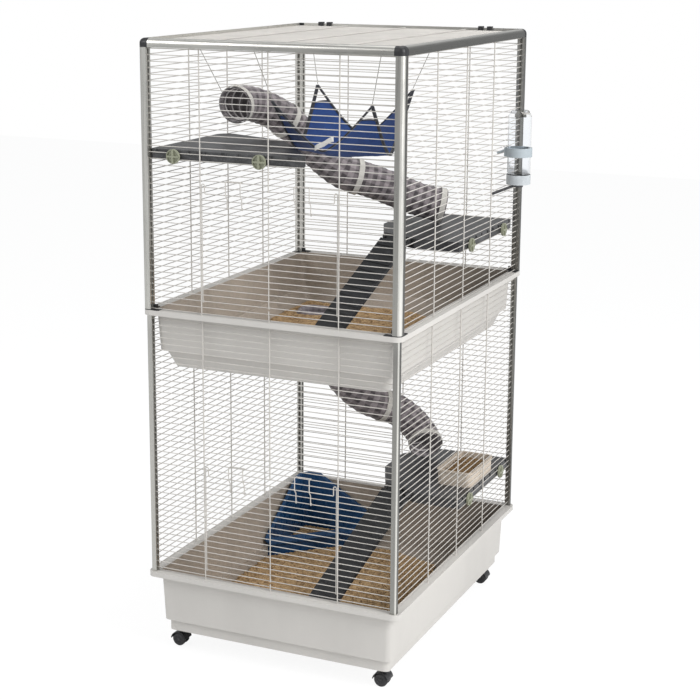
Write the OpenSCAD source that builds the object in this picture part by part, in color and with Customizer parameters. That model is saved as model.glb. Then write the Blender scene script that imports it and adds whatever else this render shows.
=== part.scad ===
/* [Cage] */
// Outside width over the upper posts
cage_w = 700; // [680:5:740]
// Outside depth over the upper posts
cage_d = 900; // [880:5:940]
// Height from the floor to the top of the rails
cage_h = 1601; // [1581:5:1641]
// Height of the middle tray's rim above the floor
mid_rim_z = 925; // [917:1:935]
// Height of the base tray's rim above the floor
base_rim_z = 226; // [221:1:231]

/* [Trays] */
// How far the tray rims stand out past the upper posts
rim_over = 2; // [1:0.5:4]
// Height of the rim band
rim_h = 13; // [10:0.5:15]
// Corner radius of the rims
rim_r = 20; // [14:1:26]
// Thickness of the tray walls and floors
tray_t = 3; // [2.4:0.2:4]
// Draft of the tray walls from rim to step
tray_draft = 5; // [3:0.5:8]
// Depth of the middle tray's wall below its rim
mid_wall_h = 94; // [84:1:100]
// Inward step of the middle tray
mid_step = 14; // [10:1:18]
// Underside of the middle tray below its rim top
mid_drop = 154; // [146:1:160]
// Underside of the base tray above the floor
base_floor_z = 56; // [55:1:62]
// Height of the foot step of the base tray
base_step_h = 31; // [24:1:36]

/* [Posts and rails] */
// Side of the upper posts and the top rails
post_s = 22; // [20:0.5:25]
// Outer corner radius of the upper posts and rails
post_r = 13; // [9:0.5:15]
// Side of the lower posts
low_post_s = 15; // [13:0.5:16]
// How far the lower posts stand inside the upper ones
low_inset = 6; // [5:0.5:8]
// Depth of the wire groove in the posts
groove_d = 5; // [3.5:0.5:6]
// Thickness of the corner plates under the upper posts
plate_t = 2.2; // [1.6:0.1:3]

/* [Wires] */
// Diameter of the horizontal wires
wire_d = 2.2; // [2:0.1:2.6]
// Diameter of the upright bars
bar_d = 3.2; // [2.8:0.1:3.6]
// Pitch of the horizontal wires
pitch = 15.8; // [15.2:0.1:16.4]
// Side-wall spacing of the upright bars
side_bar_step = 207; // [195:1:215]
// Radial play of a wire loop round another wire
loop_play = 0.06; // [0.03:0.01:0.1]

/* [Doors] */
// Half width of the door openings
door_half = 186; // [170:1:190]
// Rows of wire in the upper door
upper_rows = 17; // [15:1:19]
// Rows of wire in the lower door
lower_rows = 16; // [14:1:18]
// Side gap between a door and the fixed bars
door_gap = 1; // [0.6:0.1:1.6]
// Height of the curled corner loops above the door
curl_h = 24; // [18:1:28]
// Distance of each latch from the door's middle
latch_x = 92; // [80:1:110]
// Width of a latch
latch_w = 40; // [32:1:48]
// How far a latch stands out from the door
latch_kink = 8; // [6:0.5:11]

/* [Shelves] */
// Length of a shelf along its wall
shelf_l = 404; // [380:2:420]
// Reach of a shelf from its wall
shelf_reach = 292; // [280:2:300]
// Thickness of the shelf plate
shelf_t = 6; // [5:0.5:8]
// Depth of the apron under the plate
apron_h = 26; // [22:1:32]
// Corner radius of the shelves
shelf_r = 30; // [16:1:36]
// Spacing of the knobs of the right shelves
knob_span = 260; // [244:1:272]
// Spacing of the knobs of the left shelf
left_knob_span = 236; // [220:1:250]
// Diameter of the shelf knobs
knob_d = 36; // [30:0.5:40]
// Diameter of the knob's shank
shank_d = 8; // [7:0.1:9]
// Radial play of the knob's shank
shank_play = 0.05; // [0.02:0.01:0.1]
// Width of a ramp
ramp_w = 106; // [96:1:112]
// Thickness of a ramp
ramp_t = 8; // [6:0.5:10]

/* [Fabric] */
// Outside diameter of the tunnels
tunnel_d = 95; // [88:1:98]
// Thickness of the tunnel cloth
tunnel_t = 2.4; // [1.6:0.2:3]
// Width of the light bands on the tunnels
band_w = 15; // [10:1:18]
// Half width of the hammock
hammock_x = 133; // [120:1:140]
// Half depth of the hammock
hammock_y = 131; // [120:1:136]
// Thickness of the hammock cloth
hammock_t = 5; // [3.5:0.5:6]
// Sag of the hammock's middle below its corners
hammock_sag = 150; // [130:1:165]

/* [Fittings] */
// Diameter of the castor wheels
wheel_d = 36; // [33:0.5:37]
// Width of one castor wheel
wheel_w = 12; // [10:0.5:13]
// Diameter of the wheel axle
axle_d = 6; // [5:0.5:8]
// Radial play of axle and swivel pin
axle_play = 0.05; // [0.02:0.01:0.1]
// Diameter of the water bottle
bottle_d = 62; // [56:1:66]
// Length of the water bottle's body
bottle_h = 172; // [150:1:185]
// Back height of the corner toilet
toilet_h = 186; // [160:1:200]
// Leg length of the corner toilet
toilet_l = 250; // [230:1:270]

/* [Hidden] */
$fn = 32;
seat = 0.05;
wall_x = cage_w / 2;
wall_y = cage_d / 2;
wire_r = wire_d / 2;
bar_r = bar_d / 2;
tie = wire_r + bar_r;

rim_x = wall_x + rim_over;
rim_y = wall_y + rim_over;
low_x = wall_x - low_inset;
low_y = wall_y - low_inset;
tray_x = low_x - low_post_s - 1.5;
tray_y = low_y - low_post_s - 1.5;
rail_z = cage_h - post_s;

// planes of the horizontal wires, centred in the posts
up_wx = wall_x - post_s / 2;
up_wy = wall_y - post_s / 2;
lo_wx = low_x - low_post_s / 2;
lo_wy = low_y - low_post_s / 2;

// first wires just above each rim
up_z0 = mid_rim_z + plate_t + wire_r + 0.3;
lo_z0 = base_rim_z + wire_r + 9.9;
mid_under = mid_rim_z - rim_h;
up_n = floor((rail_z - wire_r - 0.3 - up_z0) / pitch);
lo_n = floor((mid_under - wire_r - 0.3 - lo_z0) / pitch);
up_hinge_row = 2;
lo_hinge_row = 1;
up_door_z = up_z0 + up_hinge_row * pitch;
lo_door_z = lo_z0 + lo_hinge_row * pitch;

foot_in = 10;
mid_floor_z = mid_rim_z - mid_drop;
base_in_z = base_floor_z + tray_t;
mid_in_z = mid_floor_z + tray_t;

side_bar_mid = -8;
bars_side = [side_bar_mid - side_bar_step, side_bar_mid, side_bar_mid + side_bar_step];

door_wire_r = 1.3;
door_side_x = door_half - bar_r - door_gap - door_wire_r;
loop_r = wire_r + loop_play + door_wire_r;
curl_r = 4;
bend_r = 3.2;

// shelf heights follow the gaps between wires
knob_drop = 16;
left_knob_z = up_z0 + (floor((cage_h - 284 - up_z0) / pitch) + 0.5) * pitch;
right_knob_z = up_z0 + (floor((mid_rim_z + 145 - up_z0) / pitch) + 0.5) * pitch;
low_knob_z = lo_z0 + (floor((base_rim_z + 134 - lo_z0) / pitch) + 0.5) * pitch;
left_top = left_knob_z + knob_drop;
right_top = right_knob_z + knob_drop;
low_top = low_knob_z + knob_drop;
shelf_gap = 0.3;
left_shelf_x = -wall_x + post_s + 1 + shelf_l / 2;
right_shelf_y = wall_y - post_s - 38 - shelf_l / 2;
low_shelf_y = low_y - low_post_s - 2 - shelf_l / 2;

// the left shelf's knobs stand clear of the wall's middle bar
left_knobs = [-knob_d / 2 - bar_r - 4.4 - left_knob_span, -knob_d / 2 - bar_r - 4.4]
  - [left_shelf_x, left_shelf_x];
right_knobs = [-8 - knob_span / 2, -8 + knob_span / 2];
knob_head = 7;
boss_len = 34;

// ramps hang on the cut corner of a shelf
pin_d = 5;
ramp_out = 9;
ramp_up = 8;
ramp_len = 425;
apron_t = 4;

band_r = tunnel_d / 2 + 0.35;
band_t = 1.8;
tube_n = 16;
tube_r = tunnel_d / 2;

// centring shift: the bottle stands out on one side only
bottle_x = wall_x + bottle_d / 2 + 9;
clip_t = 4;
shift_x = -(bottle_x + bottle_d / 2 + clip_t - rim_x) / 2;

// ---------- small helpers ----------

module rod_x(x0, x1, y, z, r) {
  translate([x0, y, z]) rotate([0, 90, 0]) cylinder(h = x1 - x0, r = r);
}

module rod_y(x, y0, y1, z, r) {
  translate([x, y0, z]) rotate([-90, 0, 0]) cylinder(h = y1 - y0, r = r);
}

module rod_z(x, y, z0, z1, r) {
  translate([x, y, z0]) cylinder(h = z1 - z0, r = r);
}

module rod(p, q, r) {
  v = q - p;
  translate(p) rotate([0, acos(v.z / norm(v)), atan2(v.y, v.x)])
    cylinder(h = norm(v), r = r);
}

// slab with round corners, half sizes hx and hy
module slab(hx, hy, z0, z1, r) {
  translate([-hx + r, -hy, z0]) cube([2 * hx - 2 * r, 2 * hy, z1 - z0]);
  translate([-hx, -hy + r, z0]) cube([2 * hx, 2 * hy - 2 * r, z1 - z0]);
  for (sx = [-1, 1]) for (sy = [-1, 1])
    translate([sx * (hx - r), sy * (hy - r), z0]) cylinder(h = z1 - z0, r = r, $fn = 48);
}

module taper(hx0, hy0, z0, hx1, hy1, z1, r) {
  hull() {
    slab(hx0, hy0, z0, z0 + 0.2, r);
    slab(hx1, hy1, z1 - 0.2, z1, r);
  }
}

// ---------- trays ----------

module tray_rim(top, in_x, in_y) {
  difference() {
    slab(rim_x, rim_y, top - rim_h, top, rim_r);
    slab(in_x, in_y, top - rim_h - 1, top + 1, rim_r - 6);
  }
}

// hole in the middle tray for the lower tunnel
hole = [-wall_x + 135, wall_y - 163];

module middle_tray() {
  color("gainsboro") {
    s_z = mid_under - mid_wall_h;
    in_x = tray_x - tray_t;
    in_y = tray_y - tray_t;
    difference() {
      union() {
        tray_rim(mid_rim_z, in_x, in_y);
        difference() {
          union() {
            taper(tray_x - tray_draft, tray_y - tray_draft, s_z, tray_x, tray_y, mid_under + 2, 16);
            taper(tray_x - mid_step - 20, tray_y - mid_step - 20, mid_floor_z,
              tray_x - mid_step, tray_y - mid_step, s_z + tray_t, 16);
          }
          taper(in_x - tray_draft, in_y - tray_draft, s_z + tray_t,
            in_x, in_y, mid_under + 3, 14);
          taper(in_x - mid_step - 20, in_y - mid_step - 20, mid_in_z,
            in_x - mid_step, in_y - mid_step, s_z + tray_t + 1, 14);
        }
      }
      translate([hole.x, hole.y, mid_floor_z - 5]) cylinder(h = 20, d = tunnel_d + 8, $fn = 64);
    }
  }
}

module base_tray() {
  color("gainsboro") {
    s_z = base_floor_z + base_step_h;
    in_x = tray_x - tray_t;
    in_y = tray_y - tray_t;
    foot_x = tray_x - tray_draft - foot_in;
    foot_y = tray_y - tray_draft - foot_in;
    difference() {
      union() {
        tray_rim(base_rim_z, in_x, in_y);
        difference() {
          union() {
            taper(tray_x - tray_draft, tray_y - tray_draft, s_z,
              tray_x, tray_y, base_rim_z - rim_h + 2, 16);
            slab(foot_x, foot_y, base_floor_z, s_z + 2, 14);
          }
          taper(in_x - tray_draft, in_y - tray_draft, s_z + tray_t,
            in_x, in_y, base_rim_z - rim_h + 3, 14);
          slab(foot_x - tray_t, foot_y - tray_t, base_in_z, s_z + tray_t + 1, 12);
        }
        for (sx = [-1, 1]) for (sy = [-1, 1])
          translate([sx * castor_x, sy * castor_y, socket_z]) cylinder(h = base_in_z - socket_z, d = 24);
      }
      for (sx = [-1, 1]) for (sy = [-1, 1])
        translate([sx * castor_x, sy * castor_y, socket_z - 1])
          cylinder(h = base_floor_z - socket_z + 2.5, d = stem_d + 2 * axle_play);
    }
  }
}

// ---------- posts, rails, caps ----------

// quarter disc that rounds the corner at the origin
module round_corner(r) {
  intersection() {
    translate([r, r]) circle(r = r, $fn = 48);
    square([r, r]);
  }
}

module post_profile(s, r, g) {
  difference() {
    union() {
      translate([0, r]) square([s, s - r]);
      translate([r, 0]) square([s - r, s]);
      round_corner(r);
    }
    translate([s - g, s / 2 - wire_r - seat]) square([g + 1, wire_d + 2 * seat]);
    translate([s / 2 - wire_r - seat, s - g]) square([wire_d + 2 * seat, g + 1]);
    translate([s - 2, s / 2 - 4]) square([3, 8]);
    translate([s / 2 - 4, s - 2]) square([8, 3]);
  }
}

module upper_post(sx, sy) {
  color("silver") scale([-sx, -sy, 1]) translate([-wall_x, -wall_y, mid_rim_z + plate_t])
    linear_extrude(rail_z - mid_rim_z - plate_t) post_profile(post_s, post_r, groove_d);
}

module lower_posts() {
  color("silver") for (sx = [-1, 1]) for (sy = [-1, 1])
    scale([sx, sy, 1]) translate([-low_x, -low_y, base_rim_z])
      linear_extrude(mid_under - base_rim_z) post_profile(low_post_s, 5, groove_d - 1);
}

// rail section: round outer top edge, a ledge inside for the roof
module rail_profile() {
  difference() {
    union() {
      square([post_s, post_s - post_r]);
      translate([post_r, 0]) square([post_s - post_r, post_s]);
      translate([0, post_s]) scale([1, -1]) round_corner(post_r);
    }
    translate([post_s - ledge_w, post_s - ledge_drop]) square([ledge_w + 1, ledge_drop + 1]);
  }
}
ledge_w = 6;
ledge_drop = 12;
cap_s = post_s + 4;

module front_rear_rails() {
  color("silver") for (sy = [-1, 1]) scale([1, -sy, 1])
    multmatrix([[0, 0, 1, cap_s - wall_x], [1, 0, 0, -wall_y], [0, 1, 0, rail_z], [0, 0, 0, 1]])
      linear_extrude(2 * (wall_x - cap_s)) rail_profile();
}

module side_rails() {
  color("silver") for (sx = [-1, 1])
    scale([sx, 1, 1]) translate([-wall_x, wall_y - cap_s, rail_z]) rotate([90, 0, 0])
      linear_extrude(2 * (wall_y - cap_s)) rail_profile();
}

module corner_caps() {
  color("black") for (sx = [-1, 1]) for (sy = [-1, 1])
    scale([sx, sy, 1]) translate([-wall_x, -wall_y, rail_z]) difference() {
      intersection() {
        union() {
          linear_extrude(post_s) {
            translate([0, post_r]) square([cap_s, cap_s - post_r]);
            translate([post_r, 0]) square([cap_s - post_r, cap_s]);
            translate([post_r, post_r]) circle(r = post_r, $fn = 48);
          }
        }
        union() {
          cube([cap_s, cap_s, post_s - post_r]);
          translate([post_r, post_r, post_s - post_r]) sphere(r = post_r, $fn = 48);
          translate([post_r, post_r, 0]) cube([cap_s, cap_s, post_s]);
          translate([post_r, post_r, post_s - post_r]) rotate([0, 90, 0])
            cylinder(h = cap_s, r = post_r, $fn = 48);
          translate([post_r, post_r, post_s - post_r]) rotate([-90, 0, 0])
            cylinder(h = cap_s, r = post_r, $fn = 48);
        }
      }
      translate([post_s - ledge_w, post_s - ledge_w, post_s - ledge_drop])
        cube([cap_s, cap_s, post_s]);
    }
}

module corner_plates() {
  arm = 44;
  color("black") for (sx = [-1, 1]) for (sy = [-1, 1])
    scale([sx, sy, 1]) translate([-wall_x, -wall_y, mid_rim_z]) {
      linear_extrude(plate_t) difference() {
        union() {
          translate([post_r, 0]) square([arm - post_r, post_s + 2]);
          translate([0, post_r]) square([post_s + 2, arm - post_r]);
          translate([post_r, post_r]) circle(r = post_r, $fn = 48);
        }
        translate([up_plate_in, up_plate_in]) square([arm, arm]);
      }
      translate([post_s + 0.3, post_s - 8, 0]) cube([8, 10, 12]);
    }
}
up_plate_in = post_s + 2;

// ---------- wire walls ----------

// upright bar loops: a wall facing -Y; half = reach of the wires into the posts
module wall_front(sy, z0, rows, half, wy, bar_z0, bar_z1, hinge_row, door_rows) {
  scale([1, sy, 1]) {
    for (k = [0:rows]) {
      z = z0 + k * pitch;
      if (k > hinge_row && k <= hinge_row + door_rows) {
        rod_x(-half, -door_half + 1, -wy, z, wire_r);
        rod_x(door_half - 1, half, -wy, z, wire_r);
      } else {
        rod_x(-half, half, -wy, z, wire_r);
      }
    }
    for (x = [-door_half, door_half]) rod_z(x, -wy - tie, bar_z0, bar_z1, bar_r);
    if (door_rows > 0) {
      top = z0 + (hinge_row + door_rows) * pitch;
      rod_z(0, -wy - tie, bar_z0, z0 + (hinge_row - 0.5) * pitch, bar_r);
      rod_z(0, -wy - tie, top + pitch - wire_r, bar_z1, bar_r);
    } else {
      rod_z(0, -wy - tie, bar_z0, bar_z1, bar_r);
    }
  }
}

module wall_side(sx, z0, rows, half, wx, bar_z0, bar_z1) {
  scale([sx, 1, 1]) {
    for (k = [0:rows]) rod_y(-wx, -half, half, z0 + k * pitch, wire_r);
    for (y = bars_side) rod_z(-wx - tie, y, bar_z0, bar_z1, bar_r);
  }
}

half_ux = wall_x - post_s + groove_d;
half_uy = wall_y - post_s + groove_d;
half_lx = low_x - low_post_s + groove_d - 1;
half_ly = low_y - low_post_s + groove_d - 1;

module upper_wall_front() {
  color("ivory") wall_front(1, up_z0, up_n, half_ux, up_wy, mid_rim_z, rail_z,
    up_hinge_row, upper_rows);
}
module upper_wall_rear() {
  color("ivory") wall_front(-1, up_z0, up_n, half_ux, up_wy, mid_rim_z, rail_z, 0, 0);
}
module lower_wall_front() {
  color("ivory") wall_front(1, lo_z0, lo_n, half_lx, lo_wy, base_rim_z, mid_under,
    lo_hinge_row, lower_rows);
}
module lower_wall_rear() {
  color("ivory") wall_front(-1, lo_z0, lo_n, half_lx, lo_wy, base_rim_z, mid_under, 0, 0);
}
module upper_wall_left() {
  color("ivory") wall_side(1, up_z0, up_n, half_uy, up_wx, mid_rim_z, rail_z);
}
module upper_wall_right() {
  color("ivory") wall_side(-1, up_z0, up_n, half_uy, up_wx, mid_rim_z, rail_z);
}
module lower_wall_left() {
  color("ivory") wall_side(1, lo_z0, lo_n, half_ly, lo_wx, base_rim_z, mid_under);
}
module lower_wall_right() {
  color("ivory") wall_side(-1, lo_z0, lo_n, half_ly, lo_wx, base_rim_z, mid_under);
}

// ---------- roof ----------

roof_edge_r = 1.6;
roof_z = cage_h - ledge_drop + roof_edge_r;
roof_x = wall_x - post_s + ledge_w - roof_edge_r - 1;
roof_y = wall_y - post_s + ledge_w - roof_edge_r - 1;
roof_rows = floor((2 * roof_y - 10) / pitch);
roof_step = 2 * roof_y / roof_rows;
roof_bars = [-180, 0, 180];
clip_x = [-256, 232];

module roof_grille() {
  color("ivory") {
    for (sx = [-1, 1]) {
      rod_y(sx * roof_x, -roof_y + 4, roof_y - 4, roof_z, roof_edge_r);
      for (sy = [-1, 1]) scale([sx, sy, 1]) translate([roof_x - 4, roof_y - 4, roof_z])
        rotate_extrude(angle = 90) translate([4, 0]) circle(r = roof_edge_r);
    }
    for (sy = [-1, 1]) rod_x(-roof_x + 4, roof_x - 4, sy * roof_y, roof_z, roof_edge_r);
    for (k = [1:roof_rows - 1]) {
      rod_x(-roof_x, roof_x, -roof_y + k * roof_step, roof_z + roof_edge_r + wire_r, wire_r);
    }
    // the long bars end at the last cross wire, so that the lifted roof clears the rear rail
    for (x = roof_bars) rod_y(x, -roof_y, roof_y - roof_step + wire_r + 1,
      roof_z + roof_edge_r + wire_d + bar_r, bar_r);
  }
}

// each clip carries the rear wire of the roof in a round bore
module roof_hinge_clips() {
  color("black") for (x = clip_x) for (dx = [-13, 13]) translate([x + dx - 6, 0, 0]) difference() {
    union() {
      translate([0, roof_y, roof_z]) rotate([0, 90, 0]) cylinder(h = 12, r = 5);
      translate([0, roof_y - 5, roof_z]) cube([12, 10, 14]);
      translate([0, roof_y - 5, cage_h + 0.05]) cube([12, post_s - 4, 4]);
    }
    translate([-1, roof_y, roof_z]) rotate([0, 90, 0])
      cylinder(h = 14, r = roof_edge_r + loop_play);
    translate([-1, roof_y + roof_edge_r + ledge_gap, roof_z - 8])
      cube([14, 12, cage_h - roof_z + 8.05]);
    translate([-1, roof_y - 8, roof_z - 8]) cube([14, 16, 8 - roof_edge_r]);
  }
}
ledge_gap = 0.9;

// ---------- doors and latches ----------

module door(z0, rows, wy) {
  top = z0 + rows * pitch;
  yv = -wy - loop_r;
  yh = yv + door_wire_r + wire_r;
  for (sx = [-1, 1]) scale([sx, 1, 1]) {
    rod_z(door_side_x, yv, z0, top + curl_h - curl_r, door_wire_r);
    translate([door_side_x - curl_r, yv, top + curl_h - curl_r]) rotate([90, 0, 0])
      rotate_extrude(angle = 180) translate([curl_r, 0]) circle(r = door_wire_r);
    rod_z(door_side_x - 2 * curl_r, yv, top + bend_r, top + curl_h - curl_r, door_wire_r);
    translate([door_side_x - 2 * curl_r - bend_r, yv, top + bend_r]) rotate([90, 0, 0])
      rotate_extrude(angle = 90, start = 270) translate([bend_r, 0]) circle(r = door_wire_r);
  }
  rod_x(-door_side_x + 2 * curl_r + bend_r, door_side_x - 2 * curl_r - bend_r, yv, top, door_wire_r);
  rod_z(0, yv, z0, top - door_wire_r, door_wire_r);
  for (x = [-door_side_x, 0, door_side_x]) translate([x, -wy, z0]) rotate([0, 90, 0])
    rotate([0, 0, 180]) rotate([0, 0, 90]) rotate_extrude(angle = 250, start = 0)
      translate([loop_r, 0]) circle(r = door_wire_r);
  for (k = [1:rows - 1]) rod_x(-door_side_x - 1, door_side_x + 1, yh, z0 + k * pitch, wire_r);
}

latch_r = 1.2;
latch_ball = 1.08 * latch_r;
latch_loop = wire_r + loop_play + latch_ball;
kink_start = 9;
kink_rise = 11;

// bent wire through the points of p, a ball at each bend
module wire_path(p) {
  for (i = [0:len(p) - 2]) rod(p[i], p[i + 1], latch_r);
  for (q = p) translate(q) sphere(r = latch_ball);
}

// a latch turns on a door wire and its bar lies over a fixed wire
module latch(z0, rows, wy, x) {
  pivot = z0 + (rows - 2) * pitch;
  yp = -wy - loop_r + door_wire_r + wire_r;
  yl = yp - latch_loop;
  bar_z = z0 + (rows + 2) * pitch + wire_r + latch_ball + seat;
  kink_z = pivot + 2 * pitch - kink_start;
  leg = [[0, yl, pivot], [0, yl, kink_z], [0, yl - latch_kink, kink_z + kink_rise],
    [0, yl - latch_kink, bar_z], [0, -wy, bar_z]];
  for (sx = [-1, 1]) translate([x + sx * latch_w / 2, 0, 0]) {
    translate([0, yp, pivot]) rotate([90, 0, 90]) rotate([0, 0, 180])
      rotate_extrude(angle = 250) translate([latch_loop, 0]) circle(r = latch_r);
    wire_path(leg);
  }
  rod_x(x - latch_w / 2, x + latch_w / 2, -wy, bar_z, latch_r);
}

module upper_door() { color("ivory") door(up_door_z, upper_rows, up_wy); }
module lower_door() { color("ivory") door(lo_door_z, lower_rows, lo_wy); }
module upper_door_latch_left() { color("ivory") latch(up_door_z, upper_rows, up_wy, -latch_x); }
module upper_door_latch_right() { color("ivory") latch(up_door_z, upper_rows, up_wy, latch_x); }
module lower_door_latch_left() { color("ivory") latch(lo_door_z, lower_rows, lo_wy, -latch_x); }
module lower_door_latch_right() { color("ivory") latch(lo_door_z, lower_rows, lo_wy, latch_x); }

// ---------- shelves, knobs, ramps ----------

function inward(a, b) = let (d = (b - a) / norm(b - a)) [-d.y, d.x];
function at(p, i) = p[(i + len(p)) % len(p)];
function corner(p, i) = let (n = inward(at(p, i - 1), p[i]), m = inward(p[i], at(p, i + 1)))
  [n, m, (n + m) / (1 + n * m)];

// ends of the corner arcs of outline p with radii rr, drawn a margin g inside it
function arc_ends(p, rr, g) = [for (i = [0:len(p) - 1]) let (k = corner(p, i),
  c = p[i] + rr[i] * k[2], r = rr[i] - g) each [c - r * k[0], c - r * k[1]]];

// outline with its corners rounded by true arcs
module round_plan(p, rr) {
  polygon(arc_ends(p, rr, 0));
  for (i = [0:len(p) - 1]) translate(p[i] + rr[i] * corner(p, i)[2]) circle(r = rr[i], $fn = 48);
}

// shelf outline, wall along x at y = 0; the cut corner carries the ramp
function shelf_plan(long_cut) = let (l = shelf_l / 2, w = shelf_reach)
  long_cut ? [[-l, 0], [l, 0], [l, 44], [22, w], [-l, w + left_extra]]
  : [[-l, 0], [l, 0], [l, 0.7 * w], [l - 86, w], [-22, w],
    [cut_p.x + 60 * sin(cut_a), cut_p.y + 60 * cos(cut_a)],
    [cut_p.x - 60 * sin(cut_a), cut_p.y - 60 * cos(cut_a)]];
cut_a = 28;
left_extra = 92;
cut_p = [-shelf_l / 2 + 60 * sin(cut_a), 185];

module shelf(long_cut) {
  l = shelf_l / 2;
  n_notch = 9;
  plan = shelf_plan(long_cut);
  rr = long_cut ? [8, 8, 20, shelf_r, shelf_r] : [8, 8, shelf_r, shelf_r, shelf_r, 18, 18];
  knobs = long_cut ? left_knobs : right_knobs;
  difference() {
    union() {
      difference() {
        translate([0, 0, knob_drop - apron_h]) linear_extrude(apron_h) round_plan(plan, rr);
        translate([0, 0, knob_drop - apron_h - 1]) linear_extrude(apron_h - shelf_t + 1)
          polygon(arc_ends(plan, rr, apron_t));
      }
      for (x = knobs) translate([x, 0, 0]) {
        rotate([-90, 0, 0]) cylinder(h = boss_len, d = shank_d + 10);
        translate([-4, 0, 0]) cube([8, boss_len, knob_drop - shelf_t + 1]);
      }
      if (!long_cut) translate(cut_p) rotate([0, 0, -cut_a]) translate([0, -ramp_w / 2, 0])
        ramp_lugs();
    }
    for (x = knobs) translate([x, -1, 0]) rotate([-90, 0, 0])
      cylinder(h = boss_len - 4, d = shank_d + 2 * shank_play);
    for (k = [0:n_notch - 1])
      translate([-l + 22 + k * (2 * l - 44) / (n_notch - 1) - 5, -1, knob_drop - shelf_t - 1])
        cube([10, 4, shelf_t + 2]);
  }
}

// two lugs with a pin bore on the cut edge
module ramp_lugs() {
  for (y = [4, ramp_w - 12]) translate([-ramp_out, y, ramp_up]) difference() {
    union() {
      rotate([-90, 0, 0]) cylinder(h = 8, d = pin_d + 7);
      translate([0, 0, -5]) cube([ramp_out + 2, 8, 10]);
    }
    translate([0, -1, 0]) rotate([-90, 0, 0]) cylinder(h = 10, d = pin_d + 2 * shank_play);
  }
}

module place_left() {
  translate([left_shelf_x, -up_wy + wire_r + shelf_gap, left_knob_z]) children();
}
module place_right(y, wx, z) {
  translate([wx - wire_r - shelf_gap, y, z]) rotate([0, 0, 90]) children();
}

module upper_left_shelf() { color("dimgray") place_left() shelf(true); }
module upper_right_shelf() {
  color("dimgray") place_right(right_shelf_y, up_wx, right_knob_z) shelf(false);
}
module lower_shelf() {
  color("dimgray") place_right(low_shelf_y, lo_wx, low_knob_z) shelf(false);
}

// knob: cross grip outside the wires, shank through them into the boss
module knob() {
  color("darkkhaki") {
    y0 = -shelf_gap - wire_d - tie_gap;
    translate([0, y0, 0]) rotate([90, 0, 0]) cylinder(h = 3, d = knob_d);
    for (a = [0, 90]) rotate([0, a, 0]) translate([-knob_d / 2 + 2, y0 - 8, -2.2])
      cube([knob_d - 4, 6, 4.4]);
    translate([0, y0 - 2.9, 0]) rotate([90, 0, 0]) difference() {
      cylinder(h = 3, d = knob_d);
      translate([0, 0, -1]) cylinder(h = 5, d = knob_d - 5);
    }
    translate([0, y0 - 1, 0]) rotate([-90, 0, 0])
      cylinder(h = boss_len - 6 - y0, d = shank_d);
  }
}
tie_gap = 0.1;

module upper_left_knob_a() { place_left() translate([left_knobs[0], 0, 0]) knob(); }
module upper_left_knob_b() { place_left() translate([left_knobs[1], 0, 0]) knob(); }
module upper_right_knob_a() {
  place_right(right_shelf_y, up_wx, right_knob_z) translate([right_knobs[0], 0, 0]) knob();
}
module upper_right_knob_b() {
  place_right(right_shelf_y, up_wx, right_knob_z) translate([right_knobs[1], 0, 0]) knob();
}
module lower_knob_a() {
  place_right(low_shelf_y, lo_wx, low_knob_z) translate([right_knobs[0], 0, 0]) knob();
}
module lower_knob_b() {
  place_right(low_shelf_y, lo_wx, low_knob_z) translate([right_knobs[1], 0, 0]) knob();
}

// ramp frame: hinge axis along X at the origin, running down toward -Y
module ramp(drop) {
  a = asin((drop - seat) / norm([ramp_len, ramp_t / 2])) - atan(ramp_t / 2 / ramp_len);
  n_rib = 14;
  color("#2b2c2e") rotate([a, 0, 0]) {
    translate([-ramp_w / 2, -ramp_len, -ramp_t / 2]) cube([ramp_w, ramp_len - 8, ramp_t]);
    translate([-ramp_w / 2 + 22.5, 0, 0]) rotate([0, 90, 0])
      cylinder(h = ramp_w - 45, d = ramp_t);
    translate([-ramp_w / 2 + 22.5, -10, -ramp_t / 2]) cube([ramp_w - 45, 10, ramp_t]);
    for (k = [1:n_rib]) translate([-ramp_w / 2 + 3, -k * ramp_len / (n_rib + 1) - 2, ramp_t / 2 - 0.1])
      cube([ramp_w - 6, 4, 2]);
    translate([-ramp_w / 2 + 3, 0, 0]) rotate([0, 90, 0]) cylinder(h = ramp_w - 6, d = pin_d);
  }
}

module hang_ramp(drop) {
  translate([cut_p.x, cut_p.y, ramp_up]) rotate([0, 0, -cut_a]) translate([-ramp_out, 0, 0])
    rotate([0, 0, -90]) ramp(drop);
}

module upper_ramp() {
  place_right(right_shelf_y, up_wx, right_knob_z) hang_ramp(right_knob_z + ramp_up - mid_in_z);
}
module lower_ramp() {
  place_right(low_shelf_y, lo_wx, low_knob_z) hang_ramp(low_knob_z + ramp_up - base_in_z);
}

// ---------- fabric tunnels and hammock ----------

function unit(v) = v / norm(v);
function mix3(p0, t0, p1, t1, s) =
  (2 * s ^ 3 - 3 * s ^ 2 + 1) * p0 + (s ^ 3 - 2 * s ^ 2 + s) * norm(p1 - p0) * t0
  + (3 * s ^ 2 - 2 * s ^ 3) * p1 + (s ^ 3 - s ^ 2) * norm(p1 - p0) * t1;
function mix3d(p0, t0, p1, t1, s) = unit(
  (6 * s ^ 2 - 6 * s) * p0 + (3 * s ^ 2 - 4 * s + 1) * norm(p1 - p0) * t0
  + (6 * s - 6 * s ^ 2) * p1 + (3 * s ^ 2 - 2 * s) * norm(p1 - p0) * t1);

tube_steps = 9;
band_half = band_w / 2 + 3;

// centre line: straight under each band, smooth in between; entries are [point, direction]
function hose_line(st) = [for (i = [0:len(st) - 1]) each concat(
  [[st[i][0] - band_half * st[i][1], st[i][1]], [st[i][0] + band_half * st[i][1], st[i][1]]],
  i == len(st) - 1 ? [] : [for (k = [1:tube_steps - 1])
    let (p0 = st[i][0] + band_half * st[i][1], p1 = st[i + 1][0] - band_half * st[i + 1][1])
    [mix3(p0, st[i][1], p1, st[i + 1][1], k / tube_steps),
     mix3d(p0, st[i][1], p1, st[i + 1][1], k / tube_steps)]])];

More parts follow.
